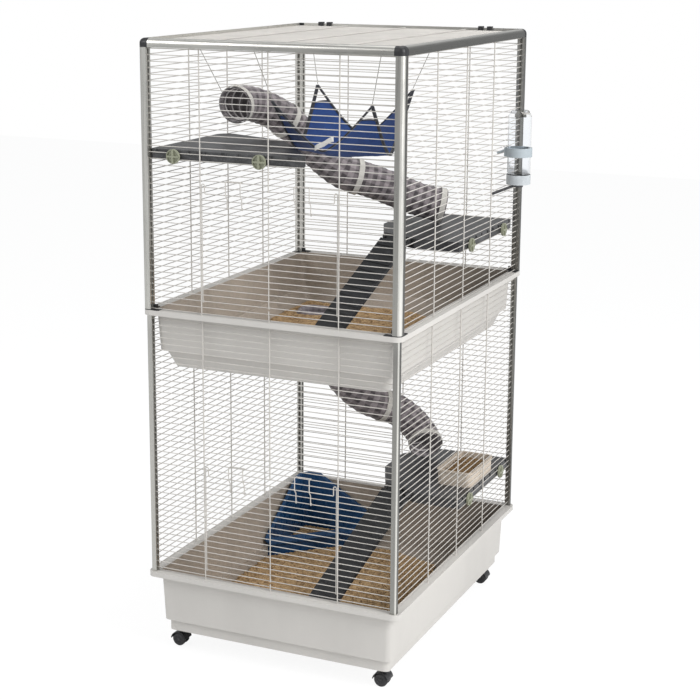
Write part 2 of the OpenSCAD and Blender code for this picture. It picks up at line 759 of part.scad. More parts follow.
function ring_at(c, side, r) = let (t = c[1], n = unit(side - (side * t) * t), b = cross(t, n))
  [for (i = [0:tube_n - 1]) c[0] + r * (cos(360 * i / tube_n) * n + sin(360 * i / tube_n) * b)];

module hose(st, side) {
  line = hose_line(st);
  m = len(line);
  outer = [for (c = line) each ring_at(c, side, tube_r)];
  inner = [for (c = line) each ring_at(c, side, tube_r - tunnel_t)];
  o = m * tube_n;
  quads = [for (j = [0:m - 2]) for (i = [0:tube_n - 1]) let (a = j * tube_n + i,
    b = j * tube_n + (i + 1) % tube_n) [a, b, b + tube_n, a + tube_n]];
  skin = [for (q = quads) each [[q[0], q[2], q[1]], [q[0], q[3], q[2]]]];
  bore = [for (q = quads) each [[o + q[0], o + q[1], o + q[2]], [o + q[0], o + q[2], o + q[3]]]];
  ends = [for (i = [0:tube_n - 1]) let (k = (i + 1) % tube_n, e = (m - 1) * tube_n)
    each [[i, k, o + i], [k, o + k, o + i], [e + i, o + e + i, e + k], [e + k, o + e + i, o + e + k]]];
  echo(tunnel_wall = tunnel_t * cos(180 / tube_n));
  polyhedron(points = concat(outer, inner), faces = concat(skin, bore, ends));
}

module bands(st) {
  for (s = st) {
    d = s[1];
    translate(s[0]) rotate([0, acos(d.z), atan2(d.y, d.x)]) difference() {
      cylinder(h = band_w, r = band_r + band_t, center = true, $fn = 64);
      cylinder(h = band_w + 2, r = band_r, center = true, $fn = 64);
    }
  }
}

// lowest reach of an end band below its centre
function band_low(d) = let (c = sqrt(1 - d.z ^ 2))
  max((band_r + band_t) * c + band_w / 2 * abs(d.z), tube_r * c + band_half * abs(d.z)) + 0.2;

up_t = [for (d = [[-0.12, 0.98, -0.15], [0.69, 0.47, -0.55], [0.76, 0.42, -0.5], [0.86, 0.46, -0.22]])
  unit(d)];
upper_stations = [
  [[-wall_x + 95, -118, cage_h - 186], up_t[0]],
  [[-wall_x + 172, 36, cage_h - 229], up_t[1]],
  [[-wall_x + 346, 118, right_top + 128], up_t[2]],
  [[wall_x - 167, right_shelf_y + 48, right_top + band_low(up_t[3])], up_t[3]]];

lo_t = [for (d = [[0.15, 0, -0.98], [0.72, 0.55, -0.42], [0.5, -0.64, -0.58]]) unit(d)];
lower_stations = [
  [[hole.x + 4, hole.y, mid_floor_z - 30], lo_t[0]],
  [[-wall_x + 347, hole.y + 13, low_top + 141], lo_t[1]],
  [[wall_x - 230, low_shelf_y + 95, low_top + band_low(lo_t[2])], lo_t[2]]];

module upper_tunnel() { color("dimgray") hose(upper_stations, [0, 0, 1]); }
module upper_tunnel_bands() { color("lightgray") bands(upper_stations); }
module lower_tunnel() { color("dimgray") hose(lower_stations, [0, 1, 0]); }
module lower_tunnel_bands() { color("lightgray") bands(lower_stations); }

cord_r = 0.9;

// a thin wire from the first band up to a wire of the left wall
module tunnel_hanger() {
  s = upper_stations[0];
  side = unit([-1, 0, 0.7] - ([-1, 0, 0.7] * s[1]) * s[1]);
  row = up_z0 + (up_n - 1) * pitch;
  top = [-up_wx + wire_r + cord_r + 0.2, s[0].y - tube_r, row];
  foot = s[0] + (band_r + band_t + cord_r + 0.2) * side;
  color("lightgray") {
    rod(foot, top, cord_r);
    translate(foot) sphere(r = cord_r);
  }
}

ham = [81, -184, cage_h - 140];
ham_tilt = 10;
ham_n = 16;
pull_in = 0.3;
edge_sag = hammock_sag * 0.8;

function ham_z(u, v) = let (q = (abs(u * v)) ^ 1.5)
  ham.z + ham_tilt * v - hammock_sag + (hammock_sag - edge_sag) * (u * u + v * v) * (1 - q)
  + hammock_sag * q;
function ham_p(u, v, dz) = [
  ham.x + hammock_x * u * (1 - pull_in * (1 - v * v)),
  ham.y + hammock_y * v * (1 - pull_in * (1 - u * u)),
  ham_z(u, v) + dz];

module hammock() {
  n = ham_n;
  w = n + 1;
  o = w * w;
  top = [for (j = [0:n]) for (i = [0:n]) ham_p(2 * i / n - 1, 2 * j / n - 1, 0)];
  under = [for (j = [0:n]) for (i = [0:n]) ham_p(2 * i / n - 1, 2 * j / n - 1, -hammock_t)];
  cells = [for (j = [0:n - 1]) for (i = [0:n - 1]) j * w + i];
  upper = [for (a = cells) each [[a, a + w, a + w + 1], [a, a + w + 1, a + 1]]];
  lower = [for (a = cells) each [[o + a, o + a + w + 1, o + a + w], [o + a, o + a + 1, o + a + w + 1]]];
  front = [for (i = [0:n - 1]) each [[i, i + 1, o + i + 1], [i, o + i + 1, o + i]]];
  back = [for (i = [0:n - 1]) let (a = n * w + i) each [[a, o + a, a + 1], [a + 1, o + a, o + a + 1]]];
  left = [for (j = [0:n - 1]) let (a = j * w) each [[a, o + a, a + w], [a + w, o + a, o + a + w]]];
  right = [for (j = [0:n - 1]) let (a = j * w + n)
    each [[a, a + w, o + a], [a + w, o + a + w, o + a]]];
  echo(hammock_cloth = hammock_t);
  color("royalblue") polyhedron(points = concat(top, under),
    faces = concat(upper, lower, front, back, left, right));
}

cord_out = 40;

module hammock_cords() {
  color("whitesmoke") for (sx = [-1, 1]) for (sy = [-1, 1]) {
    foot = ham_p(sx, sy, cord_r + 0.2);
    hook_y = -roof_y + round((foot.y + sy * cord_out + roof_y) / roof_step) * roof_step;
    top = [foot.x + sx * cord_out, hook_y, roof_z + roof_edge_r - cord_r - 0.2];
    rod(foot, top, cord_r);
    translate(foot) sphere(r = cord_r);
    rod_y(top.x, hook_y - 3, hook_y + 3, top.z, cord_r);
  }
}

// ---------- bottle ----------

bottle_y = 280;
bottle_top = cage_h - 207;
cap_h = 26;
spout_fall = 23;
spout_r = 3.8;
spout_row = floor((bottle_top - 217 - up_z0) / pitch);
spout_z = up_z0 + (spout_row + 0.5) * pitch;
cap_z = bottle_top - bottle_h - cap_h;

module bottle_body() {
  color("skyblue") translate([bottle_x, bottle_y, cap_z + cap_h]) difference() {
    union() {
      cylinder(h = bottle_h - 14, d = bottle_d, $fn = 64);
      translate([0, 0, bottle_h - 14]) cylinder(h = 14, d1 = bottle_d, d2 = bottle_d - 16, $fn = 64);
    }
    translate([0, 0, 2]) cylinder(h = bottle_h - 18, d = bottle_d - 4, $fn = 64);
  }
}

module bottle_spout_cap() {
  d = [cos(spout_fall), 0, sin(spout_fall)];
  wall_p = [up_wx, bottle_y, spout_z];
  reach = (bottle_x - up_wx) / d.x;
  color("dimgray") union() {
    translate([bottle_x, bottle_y, cap_z]) cylinder(h = cap_h, d = bottle_d + 3, $fn = 64);
    translate([bottle_x, bottle_y, cap_z - 8]) cylinder(h = 9, d = 26, $fn = 48);
    rod(wall_p - 24 * d, wall_p + (reach + 3) * d, spout_r);
    rod_z(bottle_x, bottle_y, spout_z + reach * d.z - 2, cap_z + 2, spout_r + 2);
  }
}

module bottle_clip() {
  d = [cos(spout_fall), 0, sin(spout_fall)];
  row = up_z0 + floor((bottle_top - 113 - up_z0) / pitch) * pitch;
  peg_r = 3;
  peg_z = row + (wire_r + peg_r + seat) / cos(spout_fall);
  color("gray") {
    difference() {
      union() {
        translate([bottle_x, bottle_y, row - 6]) cylinder(h = 24, d = bottle_d + 2 * clip_t, $fn = 64);
        translate([wall_x + 3, bottle_y - 16, row - 6]) cube([18, 32, 24]);
      }
      translate([bottle_x, bottle_y, row - 7]) cylinder(h = 26, d = bottle_d + 0.1, $fn = 64);
    }
    for (dy = [-10, 10]) rod([up_wx, bottle_y + dy, peg_z] - 8 * d,
      [up_wx, bottle_y + dy, peg_z] + 18 * d, peg_r);
  }
}

// ---------- trough and toilet ----------

trough_l = 184;
trough_w = 100;
trough_h = 42;

module food_trough() {
  color("tan") translate([lo_wx - wire_r - shelf_gap - 6 - trough_w / 2, low_shelf_y - 8, low_top + 0.1]) {
    difference() {
      slab(trough_w / 2, trough_l / 2, 0, trough_h, 16);
      slab(trough_w / 2 - 3, trough_l / 2 - 3, 3, trough_h + 1, 13);
    }
    difference() {
      slab(trough_w / 2 + 3, trough_l / 2 + 3, trough_h - 4, trough_h, 19);
      slab(trough_w / 2 - 2, trough_l / 2 - 2, trough_h - 5, trough_h + 1, 14);
    }
  }
}

toilet_t = 3;
toilet_front = 52;
toilet_tip = 14;
toilet_top = 34;
toilet_rim = 5;

// corner plan, drawn a wall g inside: right angle in the cage's rear left corner
module toilet_plan(g) {
  l = toilet_l - (1 + sqrt(2)) * g;
  polygon([[toilet_tip, g], [l, g], [l, toilet_tip], [toilet_tip, l], [g, l], [g, toilet_tip]]);
}

module corner_toilet() {
  toilet_x = tray_x - tray_draft - foot_in - tray_t - 1;
  toilet_y = tray_y - tray_draft - foot_in - tray_t - 1;
  run = (toilet_l + toilet_tip) / sqrt(2) - toilet_top;
  fall = atan((toilet_h - toilet_front) / run);
  color("midnightblue") translate([-toilet_x, toilet_y, base_in_z + 3 * seat]) scale([1, -1, 1])
    difference() {
      union() {
        linear_extrude(toilet_h) toilet_plan(0);
        intersection() {
          linear_extrude(toilet_h) toilet_plan(-toilet_rim);
          union() {
            rotate([0, 0, 45]) translate([toilet_top, 0, toilet_h]) rotate([0, fall, 0])
              translate([-toilet_top, -2 * toilet_l, -toilet_rim])
                cube([3 * toilet_l, 4 * toilet_l, toilet_rim]);
            rotate([0, 0, 45]) translate([-toilet_l, -2 * toilet_l, toilet_h - toilet_rim])
              cube([toilet_l + toilet_top, 4 * toilet_l, toilet_rim]);
          }
        }
      }
      translate([0, 0, toilet_t]) linear_extrude(toilet_h) toilet_plan(toilet_t);
      rotate([0, 0, 45]) translate([toilet_top, 0, toilet_h]) rotate([0, fall, 0])
        translate([0, -2 * toilet_l, 0]) cube([3 * toilet_l, 4 * toilet_l, toilet_h]);
    }
}

// ---------- castors ----------

castor_x = wall_x - 59;
castor_y = wall_y - 78;
socket_z = base_floor_z - 14;
stem_d = 11;
web_t = 8;
trail = 9;
wheel_r = wheel_d / 2;
hood_r = wheel_r + 3.5;
side_play = 0.5;

module fork() {
  color("#1c1c1e") {
    difference() {
      union() {
        translate([0, 0, 2 * wheel_r + 1]) cylinder(h = base_floor_z - 2 * wheel_r - 0.3, d = stem_d, $fn = 48);
        translate([0, 0, 2 * wheel_r + 1]) cylinder(h = socket_z - 2 * wheel_r - 1.3, d = 21, $fn = 48);
        translate([-trail, 0, wheel_r]) rotate([90, 0, 0])
          cylinder(h = web_t, r = wheel_r - 4, center = true, $fn = 48);
        translate([-trail, 0, wheel_r]) difference() {
          rotate([90, 0, 0]) cylinder(h = web_t + 2 * wheel_w + 4, r = hood_r, center = true, $fn = 64);
          for (s = [-1, 1]) translate([0, s * (web_t / 2 + wheel_w), 0]) rotate([90, 0, 0])
            cylinder(h = 2 * wheel_w, r = wheel_r + 2, center = true, $fn = 64);
          translate([-50, -50, -100 + 2]) cube([100, 100, 100]);
        }
      }
      translate([-trail, 0, wheel_r]) rotate([90, 0, 0])
        cylinder(h = 3 * web_t, d = axle_d + 2 * axle_play, center = true, $fn = 48);
    }
  }
}

module wheels() {
  color("#2a2a2c") translate([-trail, 0, wheel_r]) rotate([90, 0, 0]) {
    cylinder(h = web_t + 2 * side_play + 1, d = axle_d, center = true, $fn = 48);
    for (s = [-1, 1]) scale([1, 1, s]) translate([0, 0, web_t / 2 + side_play])
      rotate_extrude($fn = 64) polygon([[0, 0], [wheel_r - 2, 0], [wheel_r, 2],
        [wheel_r, wheel_w - 4], [wheel_r - 3, wheel_w - 1.5], [wheel_r - 9, wheel_w - 1.5],
        [wheel_r - 10, wheel_w - 3], [5, wheel_w - 3], [4, wheel_w - 1.5], [0, wheel_w - 1.5]]);
  }
}

module at_castor(sx, sy) { translate([sx * castor_x, sy * castor_y, 0]) children(); }

module castor_fork_front_left() { at_castor(-1, -1) fork(); }
module castor_fork_front_right() { at_castor(1, -1) fork(); }
module castor_fork_rear_left() { at_castor(-1, 1) fork(); }
module castor_fork_rear_right() { at_castor(1, 1) fork(); }
module castor_wheels_front_left() { at_castor(-1, -1) wheels(); }
module castor_wheels_front_right() { at_castor(1, -1) wheels(); }
module castor_wheels_rear_left() { at_castor(-1, 1) wheels(); }
module castor_wheels_rear_right() { at_castor(1, 1) wheels(); }

module upper_post_front_left() { upper_post(-1, -1); }
module upper_post_front_right() { upper_post(1, -1); }
module upper_post_rear_left() { upper_post(-1, 1); }
module upper_post_rear_right() { upper_post(1, 1); }

translate([shift_x, 0, 0]) {
  base_tray();
  middle_tray();
  lower_posts();
  upper_post_front_left();
  upper_post_front_right();
  upper_post_rear_left();
  upper_post_rear_right();
  front_rear_rails();
  side_rails();
  corner_caps();
  corner_plates();
  lower_wall_front();
  lower_wall_rear();
  lower_wall_left();
  lower_wall_right();
  upper_wall_front();
  upper_wall_rear();
  upper_wall_left();
  upper_wall_right();
  roof_grille();
  roof_hinge_clips();
  lower_door();
  lower_door_latch_left();
  lower_door_latch_right();
  upper_door();
  upper_door_latch_left();
  upper_door_latch_right();
  upper_left_shelf();
  upper_right_shelf();
  lower_shelf();
  upper_left_knob_a();
  upper_left_knob_b();
  upper_right_knob_a();
  upper_right_knob_b();
  lower_knob_a();
  lower_knob_b();
  upper_ramp();
  lower_ramp();
  upper_tunnel();
  upper_tunnel_bands();
  lower_tunnel();
  lower_tunnel_bands();
  tunnel_hanger();
  hammock();
  hammock_cords();
  bottle_body();
  bottle_spout_cap();
  bottle_clip();
  food_trough();
  corner_toilet();
  castor_fork_front_left();
  castor_fork_front_right();
  castor_fork_rear_left();
  castor_fork_rear_right();
  castor_wheels_front_left();
  castor_wheels_front_right();
  castor_wheels_rear_left();
  castor_wheels_rear_right();
}
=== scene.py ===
import math

import bpy
import numpy as np
from mathutils import Matrix, Vector, noise


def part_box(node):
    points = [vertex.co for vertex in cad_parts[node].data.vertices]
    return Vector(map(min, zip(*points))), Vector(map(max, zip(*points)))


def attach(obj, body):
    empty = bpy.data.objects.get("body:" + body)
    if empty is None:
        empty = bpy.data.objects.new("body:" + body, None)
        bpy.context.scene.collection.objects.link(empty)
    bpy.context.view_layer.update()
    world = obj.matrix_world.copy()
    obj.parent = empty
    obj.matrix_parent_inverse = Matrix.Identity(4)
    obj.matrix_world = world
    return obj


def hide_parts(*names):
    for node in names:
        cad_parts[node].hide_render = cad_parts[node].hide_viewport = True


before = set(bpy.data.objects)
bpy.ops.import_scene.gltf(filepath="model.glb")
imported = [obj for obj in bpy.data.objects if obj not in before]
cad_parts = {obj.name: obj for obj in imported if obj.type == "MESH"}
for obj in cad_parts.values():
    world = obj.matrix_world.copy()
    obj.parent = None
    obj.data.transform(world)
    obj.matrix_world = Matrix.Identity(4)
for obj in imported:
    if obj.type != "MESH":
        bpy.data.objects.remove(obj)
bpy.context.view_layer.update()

MM = 0.001

# The CAD is centred over its whole outline, so the cage itself stands off to one side.
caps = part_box("corner_caps")
SHIFT = (caps[0].x + caps[1].x) / 2


def at(x, y, z):
    """A point of the cage, in millimetres from its middle, in the row frame."""
    return Vector((x * MM + SHIFT, y * MM, z * MM))


# ---------------------------------------------------------------- camera and light

CAMERA_PLACE = (1734.6, -3872.7, 1828.4)
CAMERA_TURN, CAMERA_DOWN, CAMERA_ROLL = 24.28, 12.34, 0.321
LENS, SHIFT_ACROSS, SHIFT_UP = 83.36, 0.0158, -0.075


def make_camera():
    data = bpy.data.cameras.new("cage_camera")
    cam = bpy.data.objects.new("cage_camera", data)
    bpy.context.scene.collection.objects.link(cam)
    cam.location = at(*CAMERA_PLACE)
    turn = Matrix.Rotation(math.radians(CAMERA_TURN), 3, "Z")
    tilt = Matrix.Rotation(math.radians(90 - CAMERA_DOWN), 3, "X")
    roll = Matrix.Rotation(math.radians(CAMERA_ROLL), 3, "Z")
    cam.rotation_mode = "QUATERNION"
    cam.rotation_quaternion = (turn @ tilt @ roll).to_quaternion()
    data.sensor_width = 36
    data.lens = LENS
    data.shift_x = SHIFT_ACROSS
    data.shift_y = SHIFT_UP
    data.clip_start = 0.1
    data.clip_end = 60
    bpy.context.scene.camera = cam


def area_light(name, place, target, size, power, tint=(1, 1, 1)):
    data = bpy.data.lights.new(name, "AREA")
    data.shape = "RECTANGLE"
    data.size, data.size_y = size
    data.energy = power
    data.color = tint
    lamp = bpy.data.objects.new(name, data)
    bpy.context.scene.collection.objects.link(lamp)
    lamp.location = place
    lamp.rotation_mode = "QUATERNION"
    lamp.rotation_quaternion = (Vector(target) - Vector(place)).to_track_quat("-Z", "Y")


def make_studio():
    scene = bpy.context.scene
    scene.view_settings.view_transform = "Standard"
    world = bpy.data.worlds.new("studio")
    scene.world = world
    world.use_nodes = True
    tree = world.node_tree
    tree.nodes.clear()
    out = tree.nodes.new("ShaderNodeOutputWorld")
    seen = tree.nodes.new("ShaderNodeBackground")
    seen.inputs["Color"].default_value = (1, 1, 1, 1)
    seen.inputs["Strength"].default_value = 1
    soft = tree.nodes.new("ShaderNodeBackground")
    soft.inputs["Color"].default_value = (0.97, 0.985, 1, 1)
    soft.inputs["Strength"].default_value = 0.5
    path = tree.nodes.new("ShaderNodeLightPath")
    shown = tree.nodes.new("ShaderNodeMath")
    shown.operation = "MAXIMUM"
    tree.links.new(path.outputs["Is Camera Ray"], shown.inputs[0])
    tree.links.new(path.outputs["Is Transmission Ray"], shown.inputs[1])
    mix = tree.nodes.new("ShaderNodeMixShader")
    tree.links.new(shown.outputs[0], mix.inputs[0])
    tree.links.new(soft.outputs[0], mix.inputs[1])
    tree.links.new(seen.outputs[0], mix.inputs[2])
    tree.links.new(mix.outputs[0], out.inputs[0])
    area_light("key", (-2.6, -3.4, 3.6), (0, 0, 0.9), (2.0, 2.0), 62)
    area_light("side", (3.8, -1.2, 3.0), (0, 0, 0.8), (1.6, 2.4), 150)
    area_light("top", (0.2, 0.3, 4.2), (0, 0, 0.8), (2.6, 2.6), 38)


def make_floor():
    mesh = bpy.data.meshes.new("studio_floor")
    half = 9
    mesh.from_pydata([(-half, -half, 0), (half, -half, 0), (half, half, 0), (-half, half, 0)],
                     [], [(0, 1, 2, 3)])
    floor = bpy.data.objects.new("studio_floor", mesh)
    bpy.context.scene.collection.objects.link(floor)
    floor.location.z = -0.0004
    finish = bpy.data.materials.new("studio_floor")
    finish.use_nodes = True
    tree = finish.node_tree
    tree.nodes.clear()
    out = tree.nodes.new("ShaderNodeOutputMaterial")
    matt = tree.nodes.new("ShaderNodeBsdfDiffuse")
    matt.inputs["Color"].default_value = (0.9, 0.9, 0.9, 1)
    glow = tree.nodes.new("ShaderNodeEmission")
    glow.inputs["Color"].default_value = (1, 1, 1, 1)
    glow.inputs["Strength"].default_value = 1.06
    share = tree.nodes.new("ShaderNodeMath")
    share.operation = "MULTIPLY"
    share.inputs[1].default_value = 0.86
    path = tree.nodes.new("ShaderNodeLightPath")
    mix = tree.nodes.new("ShaderNodeMixShader")
    tree.links.new(path.outputs["Is Camera Ray"], share.inputs[0])
    tree.links.new(share.outputs[0], mix.inputs[0])
    tree.links.new(matt.outputs[0], mix.inputs[1])
    tree.links.new(glow.outputs[0], mix.inputs[2])
    tree.links.new(mix.outputs[0], out.inputs[0])
    mesh.materials.append(finish)


# ---------------------------------------------------------------- finishes

class Finish:
    """A material with a Principled shader and short ways to wire its pattern."""

    def __init__(self, name, colour, rough=0.5, metal=0.0, **sockets):
        self.mat = bpy.data.materials.new(name)
        self.mat.use_nodes = True
        self.tree = self.mat.node_tree
        self.tree.nodes.clear()
        out = self.node("ShaderNodeOutputMaterial")
        self.shader = self.node("ShaderNodeBsdfPrincipled")
        self.tree.links.new(self.shader.outputs[0], out.inputs[0])
        self.shader.inputs["Base Color"].default_value = (*colour, 1)
        self.shader.inputs["Roughness"].default_value = rough
        self.shader.inputs["Metallic"].default_value = metal
        for key, value in sockets.items():
            self.shader.inputs[key.replace("_", " ")].default_value = value
        self.place = self.node("ShaderNodeTexCoord").outputs["Object"]

    def node(self, kind):
        return self.tree.nodes.new(kind)

    def put(self, value, socket):
        if isinstance(value, bpy.types.NodeSocket):
            self.tree.links.new(value, socket)
        else:
            socket.default_value = value

    def scaled(self, vector, scale, turn=(0, 0, 0), move=(0, 0, 0)):
        m = self.node("ShaderNodeMapping")
        self.put(vector, m.inputs["Vector"])
        m.inputs["Scale"].default_value = scale
        m.inputs["Rotation"].default_value = turn
        m.inputs["Location"].default_value = move
        return m.outputs[0]

    def grain(self, vector, scale, detail=4.0, rough=0.55, spin=0.0):
        n = self.node("ShaderNodeTexNoise")
        self.put(vector, n.inputs["Vector"])
        n.inputs["Scale"].default_value = scale
        n.inputs["Detail"].default_value = detail
        n.inputs["Roughness"].default_value = rough
        n.inputs["Distortion"].default_value = spin
        return n.outputs["Fac"]

    def maths(self, op, a, b=0.0, c=0.0):
        n = self.node("ShaderNodeMath")
        n.operation = op
        for value, socket in zip((a, b, c), n.inputs):
            self.put(value, socket)
        return n.outputs[0]

    def step(self, value, low, high, to_low=0.0, to_high=1.0):
        n = self.node("ShaderNodeMapRange")
        n.interpolation_type = "SMOOTHSTEP"
        self.put(value, n.inputs["Value"])
        for key, number in (("From Min", low), ("From Max", high), ("To Min", to_low), ("To Max", to_high)):
            n.inputs[key].default_value = number
        return n.outputs[0]

    def parts(self, vector):
        n = self.node("ShaderNodeSeparateXYZ")
        self.put(vector, n.inputs[0])
        return n.outputs

    def blend(self, share, a, b, mode="MIX"):
        n = self.node("ShaderNodeMix")
        n.data_type = "RGBA"
        n.blend_type = mode
        self.put(share, n.inputs[0])
        for value, socket in ((a, n.inputs[6]), (b, n.inputs[7])):
            self.put(value if isinstance(value, bpy.types.NodeSocket) else (*value[:3], 1), socket)
        return n.outputs[2]

    def normal(self):
        return self.parts(self.node("ShaderNodeNewGeometry").outputs["Normal"])

    def mean(self, share, a, b):
        """share of a and the rest of b."""
        rest = round(1 - share, 6)
        return self.maths("ADD", self.maths("MULTIPLY", a, share), self.maths("MULTIPLY", b, rest))

    def scaled_by(self, vector, factor):
        """A colour or vector times one number."""
        n = self.node("ShaderNodeVectorMath")
        n.operation = "SCALE"
        self.put(vector, n.inputs[0])
        self.put(factor, n.inputs["Scale"])
        return n.outputs[0]

    def colour(self, value):
        self.put(value, self.shader.inputs["Base Color"])

    def rough(self, value):
        self.put(value, self.shader.inputs["Roughness"])

    def bump(self, height, strength, depth, under=None):
        n = self.node("ShaderNodeBump")
        n.inputs["Strength"].default_value = strength
        n.inputs["Distance"].default_value = depth
        self.put(height, n.inputs["Height"])
        if under is not None:
            self.put(under, n.inputs["Normal"])
        self.put(n.outputs[0], self.shader.inputs["Normal"])
        return n.outputs[0]


def tone(colour, factor):
    return tuple(min(1.0, c * factor) for c in colour)


def moulded(name, colour, rough=0.45, spread=0.08, grain=0.00012, streak=(1, 1, 1), grain_scale=900):
    f = Finish(name, colour, rough)
    wide = f.grain(f.scaled(f.place, streak), 7, 5, 0.6)
    fine = f.grain(f.place, grain_scale, 2)
    f.colour(f.blend(f.step(wide, 0.3, 0.7), tone(colour, 1 - spread), tone(colour, 1 + spread)))
    f.rough(f.step(f.grain(f.place, 60, 3), 0.3, 0.7, rough - 0.06, rough + 0.08))
    f.bump(fine, 0.5, grain)
    return f


FLOOR_HALF_X, FLOOR_HALF_Y = 0.3245, 0.4245


def tray_finish():
    """Pale outside and brown-grey inside; the inside is the same plastic painted darker as painted shade, and
    a painted shade ramp makes it lighter to the left and darker to the right.
    """
    outside = (0.60, 0.58, 0.55)
    # the inside colour is painted shade: the tray's own plastic, darkened
    inside = (0.30, 0.26, 0.22)
    f = Finish("tray_plastic", outside, 0.5)
    n = f.normal()
    p = f.parts(f.scaled(f.place, (1, 1, 1), move=(-SHIFT, 0, 0)))
    inward = f.maths("ADD", f.maths("MULTIPLY", n[0], p[0]), f.maths("MULTIPLY", n[1], p[1]))
    side = f.maths("LESS_THAN", inward, -0.06)
    reach = f.maths("MAXIMUM", f.maths("DIVIDE", f.maths("ABSOLUTE", p[0]), FLOOR_HALF_X),
                    f.maths("DIVIDE", f.maths("ABSOLUTE", p[1]), FLOOR_HALF_Y))
    level = f.maths("MULTIPLY", f.maths("GREATER_THAN", n[2], 0.5), f.maths("LESS_THAN", reach, 1.0))
    inner = f.maths("MAXIMUM", side, level)
    soft = f.grain(f.scaled(f.place, (1, 1, 0.35)), 5, 5, 0.6)
    dust = f.grain(f.place, 130, 6, 0.7)
    out_c = f.blend(f.step(soft, 0.3, 0.7), tone(outside, 0.96), tone(outside, 1.03))
    shaded_in_c = f.blend(f.step(f.mean(0.6, soft, dust), 0.38, 0.62), tone(inside, 0.86), tone(inside, 1.16))
    # painted shade: the inside colour is scaled up at the left and down towards the right
    painted_shade_ramp = f.scaled_by(shaded_in_c, f.step(p[0], -0.02, 0.32, 1.42, 0.72))
    # inner faces take the painted-shade inside colour, the rest the outside colour
    f.colour(f.blend(inner, out_c, painted_shade_ramp))
    f.rough(f.maths("ADD", 0.44, f.maths("MULTIPLY", dust, 0.16)))
    fine = f.grain(f.place, 1100, 2)
    f.bump(fine, 0.45, 0.00012)
    return f.mat


def aluminium_finish(name, scale):
    """Brushed metal with painted light: a painted highlight on rounded corners, painted shade on flats and on
    the lower posts.
    """
    base = (0.66, 0.65, 0.61)
    f = Finish(name, base, 0.3, 0.9)
    lines = f.grain(f.scaled(f.place, scale), 260, 3, 0.5)
    cloud = f.grain(f.place, 9, 4)
    n = f.normal()
    # painted highlight: the glint is strongest where the normal faces one fixed direction
    glint_facing = f.maths("ADD", f.maths("MULTIPLY", n[0], 0.72), f.maths("MULTIPLY", n[1], -0.69))
    place = f.parts(f.place)
    # painted shade: right-facing faces at the right, flats darker from left to right, tops set to a fixed
    # level, lower posts darker
    shade_away = f.maths("MULTIPLY", f.step(n[0], 0.5, 0.95), f.step(place[0], 0.1, 0.25, 0.0, -0.36))
    flat = f.maths("ADD", f.step(place[0], -0.4, 0.2, 1.08, 0.62), shade_away)
    level = f.maths("MAXIMUM", flat, f.step(n[2], 0.6, 0.9, 0.2, 0.92))
    level = f.maths("MAXIMUM", level, f.step(glint_facing, 0.76, 0.93, 0.1, 1.35))
    level = f.maths("MULTIPLY", level, f.step(place[2], 0.86, 0.96, 0.74, 1.0))
    brushed = f.blend(f.step(lines, 0.3, 0.7), tone(base, 0.93), tone(base, 1.05))
    # the brushed colour times the painted light level
    f.colour(f.scaled_by(brushed, level))
    f.rough(f.step(f.mean(0.6, lines, cloud), 0.35, 0.65, 0.24, 0.36))
    f.bump(lines, 0.25, 0.00006)
    return f.mat


def wire_finish():
    base = (0.56, 0.535, 0.50)
    f = Finish("wire_coat", base, 0.36, 0.0, Coat_Weight=0.25, Coat_Roughness=0.2)
    peel = f.grain(f.place, 420, 3)
    tint = f.grain(f.place, 11, 3)
    f.colour(f.blend(f.step(tint, 0.35, 0.65), tone(base, 0.95), tone(base, 1.03)))
    f.rough(f.step(peel, 0.3, 0.7, 0.28, 0.44))
    f.bump(peel, 0.3, 0.00008)
    return f.mat


def shelf_finish():
    base = (0.045, 0.045, 0.047)
    f = Finish("shelf_plastic", base, 0.38)
    swirl = f.grain(f.scaled(f.place, (1.0, 0.55, 1.0)), 9, 7, 0.62, 1.6)
    speck = f.grain(f.place, 340, 3, 0.7)
    marble = f.blend(f.step(swirl, 0.36, 0.66), tone(base, 0.62), (0.088, 0.088, 0.092))
    f.colour(f.blend(f.step(speck, 0.52, 0.72, 0.0, 0.5), marble, (0.15, 0.15, 0.155)))
    f.rough(f.step(swirl, 0.3, 0.7, 0.3, 0.5))
    f.bump(f.mean(0.6, speck, f.grain(f.place, 60, 3)), 0.5, 0.0004)
    return f.mat


def ramp_finish():
    base = (0.028, 0.029, 0.032)
    f = Finish("ramp_plastic", base, 0.5)
    scuff = f.grain(f.scaled(f.place, (1, 1, 1)), 45, 6, 0.7)
    f.colour(f.blend(f.step(scuff, 0.5, 0.75), tone(base, 0.8), (0.055, 0.055, 0.06)))
    f.rough(f.step(scuff, 0.35, 0.7, 0.42, 0.62))
    f.bump(f.grain(f.place, 700, 2), 0.6, 0.0002)
    return f.mat


def bottle_finish():
    f = Finish("bottle_clear", (0.97, 0.985, 1.0), 0.04, 0.0, Transmission_Weight=1.0, IOR=1.18)
    ripple = f.grain(f.scaled(f.place, (1, 1, 0.3)), 60, 3)
    f.bump(ripple, 0.2, 0.0002)
    return f.mat


SPOUT_TOP = 1.1955


def cap_finish():
    """Pale cap and ring; the spout below, its ball end too, is dark steel."""
    pale = (0.5, 0.53, 0.55)
    f = Finish("bottle_fittings", pale, 0.3, 0.0, Coat_Weight=0.3)
    spout = f.maths("LESS_THAN", f.parts(f.place)[2], SPOUT_TOP)
    mist = f.grain(f.place, 40, 4)
    cap = f.blend(f.step(mist, 0.3, 0.7), tone(pale, 0.93), tone(pale, 1.06))
    f.colour(f.blend(spout, cap, (0.09, 0.09, 0.095)))
    f.rough(f.step(mist, 0.3, 0.7, 0.24, 0.36))
    f.bump(f.grain(f.place, 500, 2), 0.3, 0.0001)
    return f.mat


